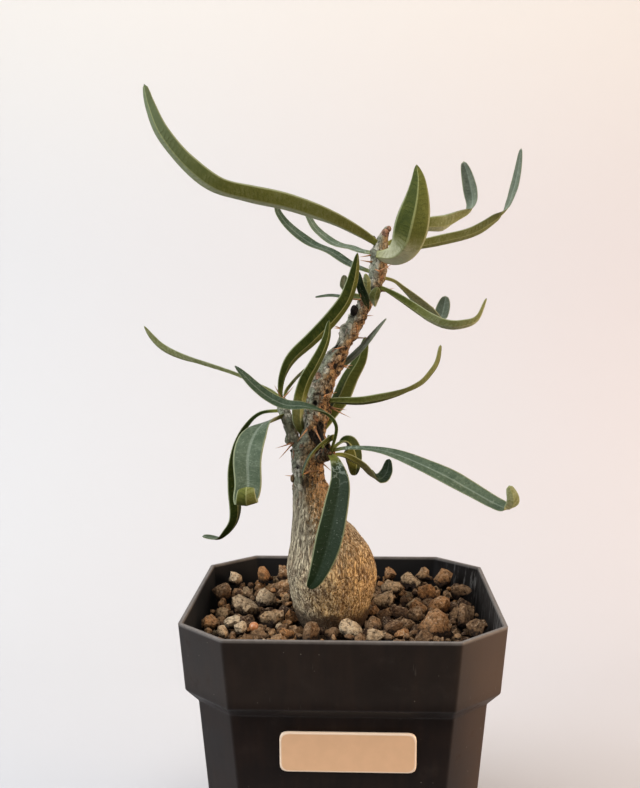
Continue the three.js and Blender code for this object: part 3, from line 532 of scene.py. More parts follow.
def grain_shells():
    """Every grain is a ball trimmed flat by random planes: along direction d its radius is the
    least, over planes with normal n, of depth / (d.n); then it is stretched, turned and made lumpy."""
    random = np.random.default_rng(GRAIN_SEED)
    spots, radii, hue = grain_spots(random)
    count = len(spots)
    way = ball(GRAIN_RINGS, GRAIN_PLACES)
    normals = unit(random.normal(size=(count, GRAIN_PLANES, 3)))
    depth = random.uniform(*PLANE_DEPTHS, (count, 1, 1, GRAIN_PLANES))
    facing = np.einsum("rpk,gnk->grpn", way, normals)
    cut = np.where(facing > PLANE_FACING, depth / np.maximum(facing, PLANE_FACING), np.inf)
    reach = GRAIN_SCALE * np.minimum(cut.min(-1), GRAIN_REACH)
    stretch = random.uniform(*GRAIN_STRETCH, (count, 1, 1, 3))
    shape = reach[..., None] * way * stretch
    turned, _ = np.linalg.qr(random.normal(size=(count, 3, 3)))
    shape = np.einsum("grpk,gkm->grpm", shape, turned)
    place, radius = spots[:, None, None], radii[:, None, None]
    shells = place + radius[..., None] * shape
    crumbly = sum(high * lumps(shells, size, seed) for high, size, seed in GRAIN_LUMPS)
    crumbly = MM * crumbly * np.minimum(1, radius / LUMPY_RADIUS)
    shells += crumbly[..., None] * shape
    dull = random.uniform(0, 1, (count, 1, 1))
    height = (shells[..., 2] - place[..., 2]) / radius
    return shells, np.stack(np.broadcast_arrays(hue[:, None, None], dull, height), -1)


def grain_finish():
    """Dull porous stone in one of the bed's colours: mottled, crumbly, with painted shade in the hollows
    between its crumbs and on its underside, and painted light on its top."""
    finish, place = new_finish("grain_stone", Specular_IOR_Level=0.15)
    hue, dull, height = marked(place)
    wander = place.noise(1.6, 5, 0.65)
    stone = (hue + 0.26 * (wander - 0.5)).ramp(GRAIN_COLOURS)
    crumbs = place.noise(0.9, 5, 0.7)
    nodules = place.cells(1.2)
    # Painted shade: dark in the hollows between crumbs and on each grain's underside.
    crevice_shade = crumbs.rise(0.48, 0.36) * 0.65 + nodules.rise(0.5, 0.75) * 0.4
    crevice_shade = crevice_shade + (height + 0.6 * (wander - 0.5)).rise(0.3, -0.55) * 0.95
    # Painted light: the top of each grain is paler.
    light = crumbs.rise(0.5, 0.64) * (0.2 + 0.55 * dull) * height.rise(0.0, 0.8)
    return feed(
        finish,
        Base_Color=coated(stone, (light, GRAIN_TOP_LIGHT), (crevice_shade, GRAIN_SHADE)),
        Roughness=0.86 + 0.1 * crumbs,
        Normal=(crumbs * 1.3 + wander * 0.9 - nodules * 0.8).relief(0.55),
    )


def bed_shade_finish():
    """Painted shade: a near-black fill that stands for the shadow in the gaps under the grains."""
    finish, place = new_finish("gravel_bed_shade", Specular_IOR_Level=0.1, Roughness=0.95)
    crumbs = place.noise(1.2, 5, 0.7)
    # Near-black: painted shade for the gaps under the grains.
    return feed(
        finish,
        Base_Color=crumbs.rise(0.35, 0.75).mix((0.004, 0.003, 0.0025), (0.022, 0.014, 0.01)),
        Normal=crumbs.relief(0.8),
    )


def bead_finish():
    """A glossy resin coat over orange plant food, paler in patches."""
    finish, place = new_finish("food_bead", Coat_Weight=0.3, Coat_Roughness=0.2)
    patches = place.noise(1.0, 3)
    return feed(
        finish,
        Base_Color=patches.rise(0.4, 0.7).mix(BEAD_COLOUR, BEAD_PALE),
        Roughness=0.35 + 0.2 * patches,
        Normal=patches.relief(0.05),
    )


def bed_shell():
    """The fill's octagon rings from the floor's middle out, up the wall and in to the bed's middle."""
    gap = WALL + BED_GAP
    profile = np.array([
        (0, 0, FLOOR + BED_GAP),
        (body_half(0) - gap, BODY_CUT - BED_CUT, FLOOR + BED_GAP),
        (body_half(ledge_foot) - gap, BODY_CUT - BED_CUT, ledge_foot),
        (collar_half - gap, RIM_CUT - BED_CUT, ledge_top + 1 * MM),
        (collar_half - gap, RIM_CUT - BED_CUT, BED_TOP),
        (0, 0, BED_TOP),
    ])
    return octagon_rings(*profile.T)


grains, hues = grain_shells()
stones = make_piece("gravel_grains", [grains], ["gravel"], grain_finish(), {"mark": [hues]})
stones.data.set_sharp_from_angle(angle=np.radians(GRAIN_SHARP))
make_piece("gravel_bed_shade", [bed_shell()], ["gravel"], bed_shade_finish(), {})
beads = BEADS[:, None, None] + BEAD_RADIUS * ball(13, 20)
make_piece("food_bead", [beads], [], bead_finish(), {})

# The stem: a swollen water-storing base that narrows to a knobbly trunk, with a branch on the left,
# a short shoot on the right and buds. It grew as one; the old skin below is tan and netted with
# cracks, the bark above is rough, silver-grey and orange-brown.
TRUNK = np.array([  # x, y, z and width in mm from the buried root to the growing tip
    (-3.5, 0, 70, 4), (-3.5, 0, 78, 14), (-3.6, 0, 84, 21.5), (-4, 0, 90, 25.4), (-3.9, 0, 97, 29),
    (-4, 0, 103, 30.4), (-4.3, 0, 108, 28.3), (-5.3, 0, 113, 25), (-7.8, -0.5, 119, 19.4),
    (-9.8, -1, 124, 14.6), (-10.9, -1, 128, 12), (-11.7, -1.2, 133, 10.6), (-11.9, -1.5, 143, 9.8),
    (-10.5, -1.5, 148, 8.8), (-8.8, -1, 157, 8), (-7.3, -0.5, 165, 8.5), (-5.3, 0, 170, 8.2),
    (-2.5, 0, 175, 7.2), (0.4, 0, 179, 5.3), (3.8, 0.5, 186, 5.9), (5.8, 0.5, 190, 5.8),
    (8.4, 0.5, 194, 4.7), (10.2, 0, 198, 4.6), (11.2, 0, 204, 5.3), (12, 0, 210, 4.6),
    (12.6, 0, 213, 3.9), (13.5, 0, 215, 2.9), (14.1, 0, 216.4, 2), (14.5, 0, 217.1, 0.9),
]) * MM
BRANCHES = [  # x, y, z and width in mm along the left branch and the right shoot, and their bark marks
    ([(-11, -1, 140.5, 4.2), (-14.6, -1.5, 144.5, 4), (-16.7, -2, 148, 3.9), (-18.3, -2.3, 153, 3.9),
      (-20, -2.5, 158, 3.8), (-20.3, -2.8, 161, 2.4)], -0.9, -0.15, 0),
    ([(-10, -3, 140.5, 4), (-7, -4.8, 142, 4.2), (-4.6, -6.4, 143.4, 4.4), (-3.6, -7.1, 144.2, 2.6)],
     0.3, 0.25, 0.45),
]
BUDS = np.array([  # x, y, z and radius in mm of buds and old leaf scars, and their three bark marks
    (-18.2, -2.4, 147.2, 1.3, -0.9, -0.15, 0), (9.6, -0.6, 212.6, 0.9, 0.3, 0.8, 0.6),
    (3.4, -1.8, 189.5, 1.4, 0.3, 0.8, 0.7), (-6.3, -1.4, 128.6, 1.6, 0.3, 0.8, 0.3),
    (-16.6, -2, 134.2, 1.1, 0.3, 0.8, 0.45), (-5.2, -6.6, 145.6, 1.2, 0.3, 0.8, 0.5),
    (-10.9, -5, 151.6, 0.8, 1.1, 0.1, 0), (-9.7, -5, 151.5, 0.8, 1.1, 0.1, 0),
    (13.5, -1, 214.6, 1.3, 0.7, -1, 0), (14.5, -0.6, 216, 0.9, 0.8, -1, 0.1),
])
KNOB_FROM, KNOB_TO, KNOB_STEP, KNOB_TURN = 131 * MM, 211 * MM, 3.1 * MM, 137.5
KNOB_HEIGHT, KNOB_SPREAD = 1.15 * MM, 1.6 * MM
SCAR_DEPTH, SCAR_SPREAD, HOLLOW_DEPTH = 0.32, 0.55 * MM, 1.1 * MM
BARK_FROM, BARK_WAIST, BELLY_TOP, TIP_WAIST = 122 * MM, 12 * MM, 104 * MM, 10 * MM
SPLINE_STEPS, TRUNK_FINE = 40, 600
TRUNK_RINGS, TRUNK_PLACES, BRANCH_RINGS, BRANCH_PLACES = 400, 180, 90, 48
BUD_RINGS, BUD_PLACES, BUD_TALL, BUD_LUMP = 15, 22, 1.25, 0.2 * MM
# The hollows are dented in, and the shader paints them black, partly as painted shade.
HOLLOWS = np.array([  # x, y, z and radius in mm of dark pits and scars in the bark
    (2.1, -2.5, 190.1, 1.1), (-8.9, -5.4, 148.8, 2.3), (-7.4, -4.6, 151, 2.6), (-6.9, -5.4, 145.6, 2.1),
    (-12.3, -5.8, 132.9, 1.9), (-14.6, -4.8, 138.4, 1.1), (-5, -4.2, 163, 1.0), (-2.6, -1.4, 177.6, 1.5),
    (-9, 4.6, 147, 1.8), (-6, 3.6, 162, 1.5), (10.5, 2.8, 200, 1.3),
    (-16.2, 1, 139.5, 1.5), (-9.5, -4.6, 159.5, 1.0), (-2.4, -3.6, 171.5, 1.2),
]) * MM
SKIN_GREY, SKIN_TAN, SKIN_GOLD = (0.37, 0.345, 0.25), (0.62, 0.53, 0.36), (0.64, 0.42, 0.18)
SKIN_CREST_HIGHLIGHT, SKIN_BROWN = (0.7, 0.6, 0.43), (0.2, 0.12, 0.065)
SKIN_GROOVE, SKIN_FURROW = (0.075, 0.055, 0.034), (0.085, 0.04, 0.014)
BARK_SILVER, BARK_TAN, BARK_BROWN = (0.255, 0.272, 0.2), (0.265, 0.165, 0.078), (0.082, 0.05, 0.028)
BARK_PALE, BARK_THREAD, BARK_RUST = (0.5, 0.48, 0.39), (0.5, 0.29, 0.12), (0.28, 0.095, 0.04)
BARK_DARK, BARK_OLIVE, BUD_PINK = (0.01, 0.008, 0.006), (0.23, 0.185, 0.1), (0.31, 0.175, 0.115)
FOOT_STAIN_AND_SHADE, WAIST_SHADE = (0.05, 0.027, 0.016), (0.055, 0.035, 0.013)


def spline(rows, count):
    """A smooth curve through rows of numbers (Catmull-Rom, with the ends mirrored), given at
    `count` places spaced evenly along its length in x, y and z, and that length."""
    p = np.vstack([2 * rows[0] - rows[1], rows, 2 * rows[-1] - rows[-2]])
    a, b, c, d = (p[k : len(p) - 3 + k][:, None] for k in range(4))
    t = np.linspace(0, 1, SPLINE_STEPS, endpoint=False)[None, :, None]
    slope, bend, twist = c - a, 2 * a - 5 * b + 4 * c - d, 3 * b - a - 3 * c + d
    curve = 0.5 * (2 * b + slope * t + bend * t**2 + twist * t**3)
    curve = np.vstack([curve.reshape(-1, rows.shape[1]), rows[-1:]])
    reach = np.r_[0, np.cumsum(np.linalg.norm(np.diff(curve[:, :3], axis=0), axis=1))]
    even = np.linspace(0, reach[-1], count)
    return np.stack([np.interp(even, reach, column) for column in curve.T], 1), reach[-1]


def knob_places():
    """Knobs climb the trunk on a spiral: each is a point on the bark and the way it faces."""
    line, _ = spline(TRUNK, TRUNK_FINE)
    height = np.arange(KNOB_FROM, KNOB_TO, KNOB_STEP)
    out = level(np.radians(KNOB_TURN) * np.arange(len(height)))
    x, y, width = (np.interp(height, line[:, 2], line[:, k]) for k in (0, 1, 3))
    return np.stack([x, y, height], -1) + out * width[:, None] / 2, out


knob_spots, knob_ways = knob_places()


def near(place, spots, spreads):
    """The sum over spots of exp(-distance^2 / spread^2)."""
    total = 0
    for spot, spread in zip(spots, np.broadcast_to(spreads, len(spots))):
        total = total + np.exp(-((place - spot) ** 2).sum(-1) / spread**2)
    return total


def bark_depth(place):
    """How far the surface stands out: winding upright wrinkles and folds on the swollen base, drawn
    out longer above its belly, and lumps of three sizes on the trunk, blended over the waist."""
    climb = 0.34 * np.minimum(place[..., 2], BELLY_TOP) + 0.13 * np.maximum(place[..., 2] - BELLY_TOP, 0)
    tall = np.stack([place[..., 0], place[..., 1], climb], -1)
    folds = 0.34 * lumps(tall, 3.4 * MM, 22) + 0.3 * lumps(place, 6 * MM, 20)
    skin = folds - 0.5 * abs(lumps(tall, 1.5 * MM, 21)) - 0.22 * abs(lumps(tall, 0.9 * MM, 26))
    rough = 0.5 * lumps(place, 2.6 * MM, 23) - 0.8 * abs(lumps(place, 1.5 * MM, 24))
    rough = rough + 0.24 * lumps(place, 0.7 * MM, 25)
    share = np.clip((place[..., 2] - BARK_FROM) / BARK_WAIST, 0, 1)
    slim = np.clip((KNOB_TO + 4 * MM - place[..., 2]) / TIP_WAIST, 0.25, 1)
    return MM * (skin * (1 - share) + (rough + 0.25) * share * slim)


def tube(line, side, other, radius, places):
    """Rings round the points of a line, line + radius (side cos a + other sin a) for even angles a
    from 0 to 2 pi, and the way out at each of their points."""
    a = turns(places)[:, None]
    out = side[..., None, :] * np.cos(a) + other[..., None, :] * np.sin(a)
    return line[..., None, :] + out * radius[..., None, None], out


def trunk_shell():
    """Level rings whose radius is half the width, plus the knobs and the bark's relief, less the
    hollows."""
    line, _ = spline(TRUNK, TRUNK_RINGS)
    skin, out = tube(line[:, :3], *np.eye(3)[:2], line[:, 3] / 2, TRUNK_PLACES)
    swell = near(skin, knob_spots, KNOB_SPREAD)
    scar = near(skin, knob_spots, SCAR_SPREAD)
    hollow = near(skin, HOLLOWS[:, :3], HOLLOWS[:, 3])
    push = KNOB_HEIGHT * (swell - SCAR_DEPTH * scar) + bark_depth(skin) - HOLLOW_DEPTH * hollow
    skin = skin + out * push[..., None]
    skin[0], skin[-1] = line[0, :3], line[-1, :3]
    # The pits mark turns the bark black in the shader: the scars' own dark and painted shade in the
    # hollows.
    pits = np.clip(0.7 * scar + hollow, 0, 1)
    return skin, np.stack([out[..., 0] + 0 * swell, np.clip(swell, 0, 1), pits], -1)


def branch_shell(rows, warm, old, scaly):
    """Rings square to the path, plus the bark's relief at a finer size. `warm` turns the bark to
    orange-brown, partly as painted warm light, `old` cracks it and `scaly` darkens it."""
    line, _ = spline(np.array(rows) * MM, BRANCH_RINGS)
    along = unit(np.gradient(line[:, :3], axis=0))
    side = unit(np.cross((0, 1, 0), along))
    skin, out = tube(line[:, :3], side, np.cross(along, side), line[:, 3] / 2, BRANCH_PLACES)
    ridge = 0.3 * lumps(skin, 1.8 * MM, 31) + 0.2 * lumps(skin, 0.8 * MM, 32)
    skin = skin + out * MM * ridge[..., None]
    skin[0], skin[-1] = line[0, :3], line[-1, :3]
    return skin, np.stack([out[..., 0] + warm, old + 0 * ridge, scaly + 0 * ridge], -1)


def bud_shells():
    """Ovals a little taller than wide, with soft lumps."""
    shape = ball(BUD_RINGS, BUD_PLACES) * (1, 1, BUD_TALL)
    place, marks = np.split(BUDS[:, None, None], [4], axis=-1)
    skin = MM * (place[..., :3] + place[..., 3:] * shape)
    skin = skin + BUD_LUMP * lumps(skin, 1.1 * MM, 41)[..., None] * shape
    return skin, np.broadcast_to(marks, skin.shape)


def bark_finish():
    """Wrinkled skin below, tan on the side facing left and golden on the side facing right, partly its
    own colours and partly painted cool and warm light, with painted highlights on the crests, grooves
    darkened partly by their own colour and partly by painted shade, a foot darkened by soil stain and
    painted shade where it meets the gravel, and a grey neck; above it silver-grey bark that turns to
    orange-brown fibres towards the right, also partly painted light, mottled brown, with black pits,
    partly their own dark and partly painted shade, darker leaf scars and pink buds; between the two a
    waist with painted shade in its middle, with orange threads."""
    finish, place = new_finish("bark", Specular_IOR_Level=0.2)
    facing, knob, scar = marked(place)
    x, y, height = split(place)
    low = height.rise(110 * MM, 94 * MM)
    # Partly the bark's own colours, partly painted light: golden towards the warm lamps on the right, tan
    # and silver towards the cool light on the left.
    warm = (facing + 1.3 * (place.noise(6, 4) - 0.5) + 0.45 * low).rise(-0.6, 0.5)
    climb = height.math("MINIMUM", BELLY_TOP) + 0.36 * (height - BELLY_TOP).math("MAXIMUM", 0.0)
    drawn = place.node("CombineXYZ", {}, x, y, climb)
    sway = drawn.noise(5 / 3, 2, 0.5, "Color").vector("SCALE", Scale=1.6 * MM)
    bent = drawn.vector("ADD", sway)
    crests = bent.stretched(1, 1, 0.5).noise(0.52, 4, 0.65)
    ridges = abs(bent.stretched(1, 1, 0.22).noise(1.9, 4, 0.6) - 0.5).rise(0.0, 0.07)
    lines = abs(bent.stretched(1, 1, 0.4).noise(0.85, 2) - 0.5).rise(0.0, 0.1)
    shade = place.noise(2.6, 4, 0.6)
    neck = height.rise(106 * MM, 118 * MM)
    # Darker towards the foot: soil stain, and painted shade where the skin meets the gravel.
    foot = (height + 8 * MM * (shade - 0.5)).rise(94 * MM, 88 * MM)
    # The grooves are darker: partly the cracks' own colour, partly painted shade in the troughs of the
    # wrinkles.
    grooves = crests.rise(0.54, 0.4) * 0.6 + (1 - ridges) * 0.38 + (1 - lines) * 0.45
    skin = coated(
        warm.mix(SKIN_TAN, SKIN_GOLD),
        (shade.rise(0.5, 0.36) * 0.7, SKIN_BROWN),
        (neck * 0.7, SKIN_GREY),
        # Painted highlight: the raised crests of the wrinkles are paler.
        (crests.rise(0.5, 0.64) * 0.5, SKIN_CREST_HIGHLIGHT),
        (foot * 0.92, FOOT_STAIN_AND_SHADE),
        (grooves.math("MINIMUM", 0.95), warm.mix(SKIN_GROOVE, SKIN_FURROW)),
    )
    grain = place.noise(0.4, 4, 0.7)
    patches = place.noise(1.7, 5, 0.65)
    plates = place.vector("ADD", sway).stretched(1, 1, 0.6)
    flake, chip, _ = split(plates.cells(1.5, out="Color"))
    seams = plates.cells(1.5, "DISTANCE_TO_EDGE").rise(0.12, 0.02)
    fibres = abs(bent.stretched(1, 1, 0.6).noise(0.8, 4, 0.65) - 0.5).rise(0.0, 0.08)
    young = height.rise(186 * MM, 198 * MM)
    grown = knob.rise(-0.2, 0.1)
    old = grown * (0.5 + 0.4 * warm) * (1 - 0.45 * young)
    pink = knob.rise(-0.5, -0.9)
    dark = patches.rise(0.45, 0.34) * 0.85 + grain.rise(0.45, 0.34) * 0.55 + seams * 0.4
    # The pits and scars add black: partly their own dark, partly painted shade in the hollows.
    dark = dark * (old + 0.35 + 0.55 * pink) + scar.rise(0.2, 0.7)
    rough = coated(
        warm.mix(BARK_SILVER, (young * 0.7).mix(BARK_TAN, BARK_OLIVE)),
        (flake.rise(0.62, 0.8) * (1 - 0.6 * warm) * 0.85, BARK_PALE),
        (chip.rise(0.8, 0.9) * grown * 0.7, BARK_RUST),
        ((1 - fibres) * warm * (0.7 - 0.45 * young), BARK_THREAD),
        (patches.rise(0.54, 0.42) * old + knob * 0.2, BARK_BROWN),
        (pink, BUD_PINK),
        (dark, BARK_DARK),
    )
    share = height.rise(BARK_FROM, BARK_FROM + 14 * MM)
    waist = height.rise(106 * MM, 118 * MM) * height.rise(148 * MM, 136 * MM)
    # Painted shade: the waist is browner in its middle, turned away from the lamps on either side.
    waist_middle_shade = (abs(facing - 0.15) + shade - 0.5).rise(0.72, 0.2) * waist * crests.rise(0.62, 0.45)
    threads = (1 - fibres).rise(0.4, 1.0) * (abs(facing - 0.35) + shade - 0.5).rise(0.75, 0.35) * waist
    surface = coated(
        share.mix(skin, rough), (waist_middle_shade * 0.92, WAIST_SHADE), (threads * 0.55, BARK_THREAD)
    )
    coarse = grain * 0.8 + patches * 1.6 - seams * 0.5 + flake * 0.3
    relief = share * coarse + (1 - share) * (crests + ridges * 0.5 + lines * 0.6)
    return feed(
        finish,
        Base_Color=surface,
        Roughness=0.74 + 0.2 * grain,
        Normal=relief.relief(0.55),
    )


shells, marks = zip(trunk_shell(), *[branch_shell(*branch) for branch in BRANCHES], bud_shells())
make_piece("stem_bark", shells, ["stem"], bark_finish(), {"mark": marks})

# The thorns: pairs of hard tan spines, each pair hardened from the two stipules of one leaf. They
# stand beside the leaf scars, dark at the root, orange-tan along the shaft and paler at the point.
THORN_SHORT, THORN_LONG, THORN_SPLAY, THORN_TILT, THORN_SEED = 3.4, 6.0, 32, 8, 11
THORN_LOW, THORN_STEEP = -12, 18
THORN_RADIUS, THORN_ROOT, THORN_BEND, THORN_RINGS, THORN_PLACES = 0.34 * MM, 0.9 * MM, 0.07, 9, 8
THORNS = np.array([  # x, y, z of the root in mm, then of the point, of the spines that stand out
    (-11.6, -5.2, 151.4, -15.1, -10, 146.9), (-9.5, -5.2, 151.3, -5.9, -9, 144.1),
    (-16.6, -3.3, 146.3, -22.3, -6.5, 144.3), (-16.6, -3.3, 146.3, -21, -7, 140.8),
    (-12.3, -1.4, 161.1, -16.1, -3.2, 161.3), (-4.4, -1.4, 157.8, 1.2, -3.6, 156.7),
    (-4.4, -1.4, 157.8, 2.2, -3, 154), (6.2, -1, 187.8, 9.9, -2, 187.8), (12.8, -1, 205, 15, -3, 202.4),
    (9.2, -1.2, 207.6, 5, -3.5, 206.5), (9.2, -1.2, 205.3, 5, -4.5, 205.5),
    (-20.2, -2.9, 160.6, -16, -6.5, 164.9), (-20.2, -2.9, 160.6, -23, -5, 165.4),
    (-7.2, -3.6, 139.8, -3.7, -7.5, 136.9), (-9, 3.4, 155, -4.3, 8, 154.7),
    (-9, 3.4, 155, -10.9, 9.7, 156.5), (-13, 3.2, 141, -11.7, 9.2, 139),
    (-13, 3.2, 141, -18.1, 7.2, 140.8),
]) * MM
THORN_BARK, THORN_SHAFT, THORN_TIP = (0.09, 0.04, 0.018), (0.36, 0.17, 0.065), (0.4, 0.23, 0.12)


def drawn_numbers(seed, count):
    """The same repeatable draw from 0 to 1 as the solids use: each state is 16807 times the last,
    modulo 2^31 - 1."""
    state, drawn = seed, []
    for _ in range(count):
        state = state * 16807 % 2147483647
        drawn.append((state - 1) / 2147483646)
    return drawn


def knob_thorns():
    """Roots and points of the two spines at each knob that no standing-out spine crowds."""
    drawn = np.array(drawn_numbers(THORN_SEED, 2 * len(knob_spots))).reshape(-1, 2)
    length = MM * (THORN_SHORT + (THORN_LONG - THORN_SHORT) * drawn[:, :1])
    rise = THORN_LOW + (THORN_STEEP - THORN_LOW) * drawn[:, 1:]
    azimuth = np.degrees(np.arctan2(knob_ways[:, 1], knob_ways[:, 0]))[:, None]
    sides = np.array([(-1.0, 1.0)])
    a, e = np.radians(azimuth + sides * THORN_SPLAY), np.radians(rise + sides * THORN_TILT)
    way = np.stack([np.cos(a) * np.cos(e), np.sin(a) * np.cos(e), np.sin(e)], -1)
    root = (knob_spots + knob_ways * KNOB_HEIGHT * 0.5)[:, None] + 0 * way
    alone = np.linalg.norm(knob_spots[:, None] - THORNS[None, :, :3], axis=-1).min(1) >= KNOB_STEP
    return root[alone].reshape(-1, 3), (root + way * length[..., None])[alone].reshape(-1, 3)


def thorn_shells():
    """Slim cones along a line that bends a little: at t from 0 at the root to 1 at the point the
    radius is r ((1 - t)^0.8 + 1.1 exp(-(t / 0.16)^2)), swollen near the root."""
    knob_roots, knob_points = knob_thorns()
    roots = np.concatenate([THORNS[:, :3], knob_roots])
    points = np.concatenate([THORNS[:, 3:], knob_points])
    lengths = np.linalg.norm(points - roots, axis=1)
    ways = unit(points - roots)
    t = np.linspace(0, 1, THORN_RINGS)
    side = unit(np.cross(ways, (0.3, 0.2, 1)))
    other = np.cross(ways, side)
    reach = -THORN_ROOT + t[None] * (lengths + THORN_ROOT)[:, None]
    bend = THORN_BEND * lengths[:, None] * t[None] ** 2
    line = roots[:, None] + ways[:, None] * reach[..., None] - other[:, None] * bend[..., None]
    radius = THORN_RADIUS * ((1 - t) ** 0.8 + 1.1 * np.exp(-((t / 0.16) ** 2)))
    radius[0] = 0
    shells, _ = tube(line, side[:, None], other[:, None], radius, THORN_PLACES)
    return shells, np.stack([t, 0 * t, 0 * t], -1)[None, :, None]


def thorn_finish():
    """Hard horn-like spine, smooth and half glossy, dark at the root and paler at the point."""
    finish, place = new_finish("thorn_horn")
    along, _, _ = marked(place)
    streak = place.noise(0.6, 3)
    stops = [(0.1, THORN_BARK), (0.3, THORN_SHAFT), (0.7, THORN_SHAFT), (1.0, THORN_TIP)]
    return feed(
        finish,
        Base_Color=(along + 0.25 * (streak - 0.5)).ramp(stops),
        Roughness=0.42 + 0.2 * streak,
        Normal=streak.relief(0.03),
    )


thorns, thorn_marks = thorn_shells()
make_piece("thorns", [thorns], ["stem"], thorn_finish(), {"mark": [thorn_marks]})

# The leaves: narrow waxy blades that grow straight from the stem on short stalks. The upper side is
# dark blue-green under a grey bloom, the underside olive and a little felted with a raised pale
# midrib; the halves fold up a little and the tips curl as they dry.
LEAF_RINGS, LEAF_ACROSS = 110, 17
LEAF_THICK, LEAF_THIN, LEAF_STALK = 0.62 * MM, 0.35, 0.24
LEAF_RIB, RIB_HALF, RIB_SUNK = 0.38 * MM, 0.16, 0.45
FOLD_SOFT, WAVE_UP, WAVE_OUT, WAVE_LONG, WAVE_SHORT = 0.03, 0.05, 0.025, 5.5 * MM, 3.1 * MM
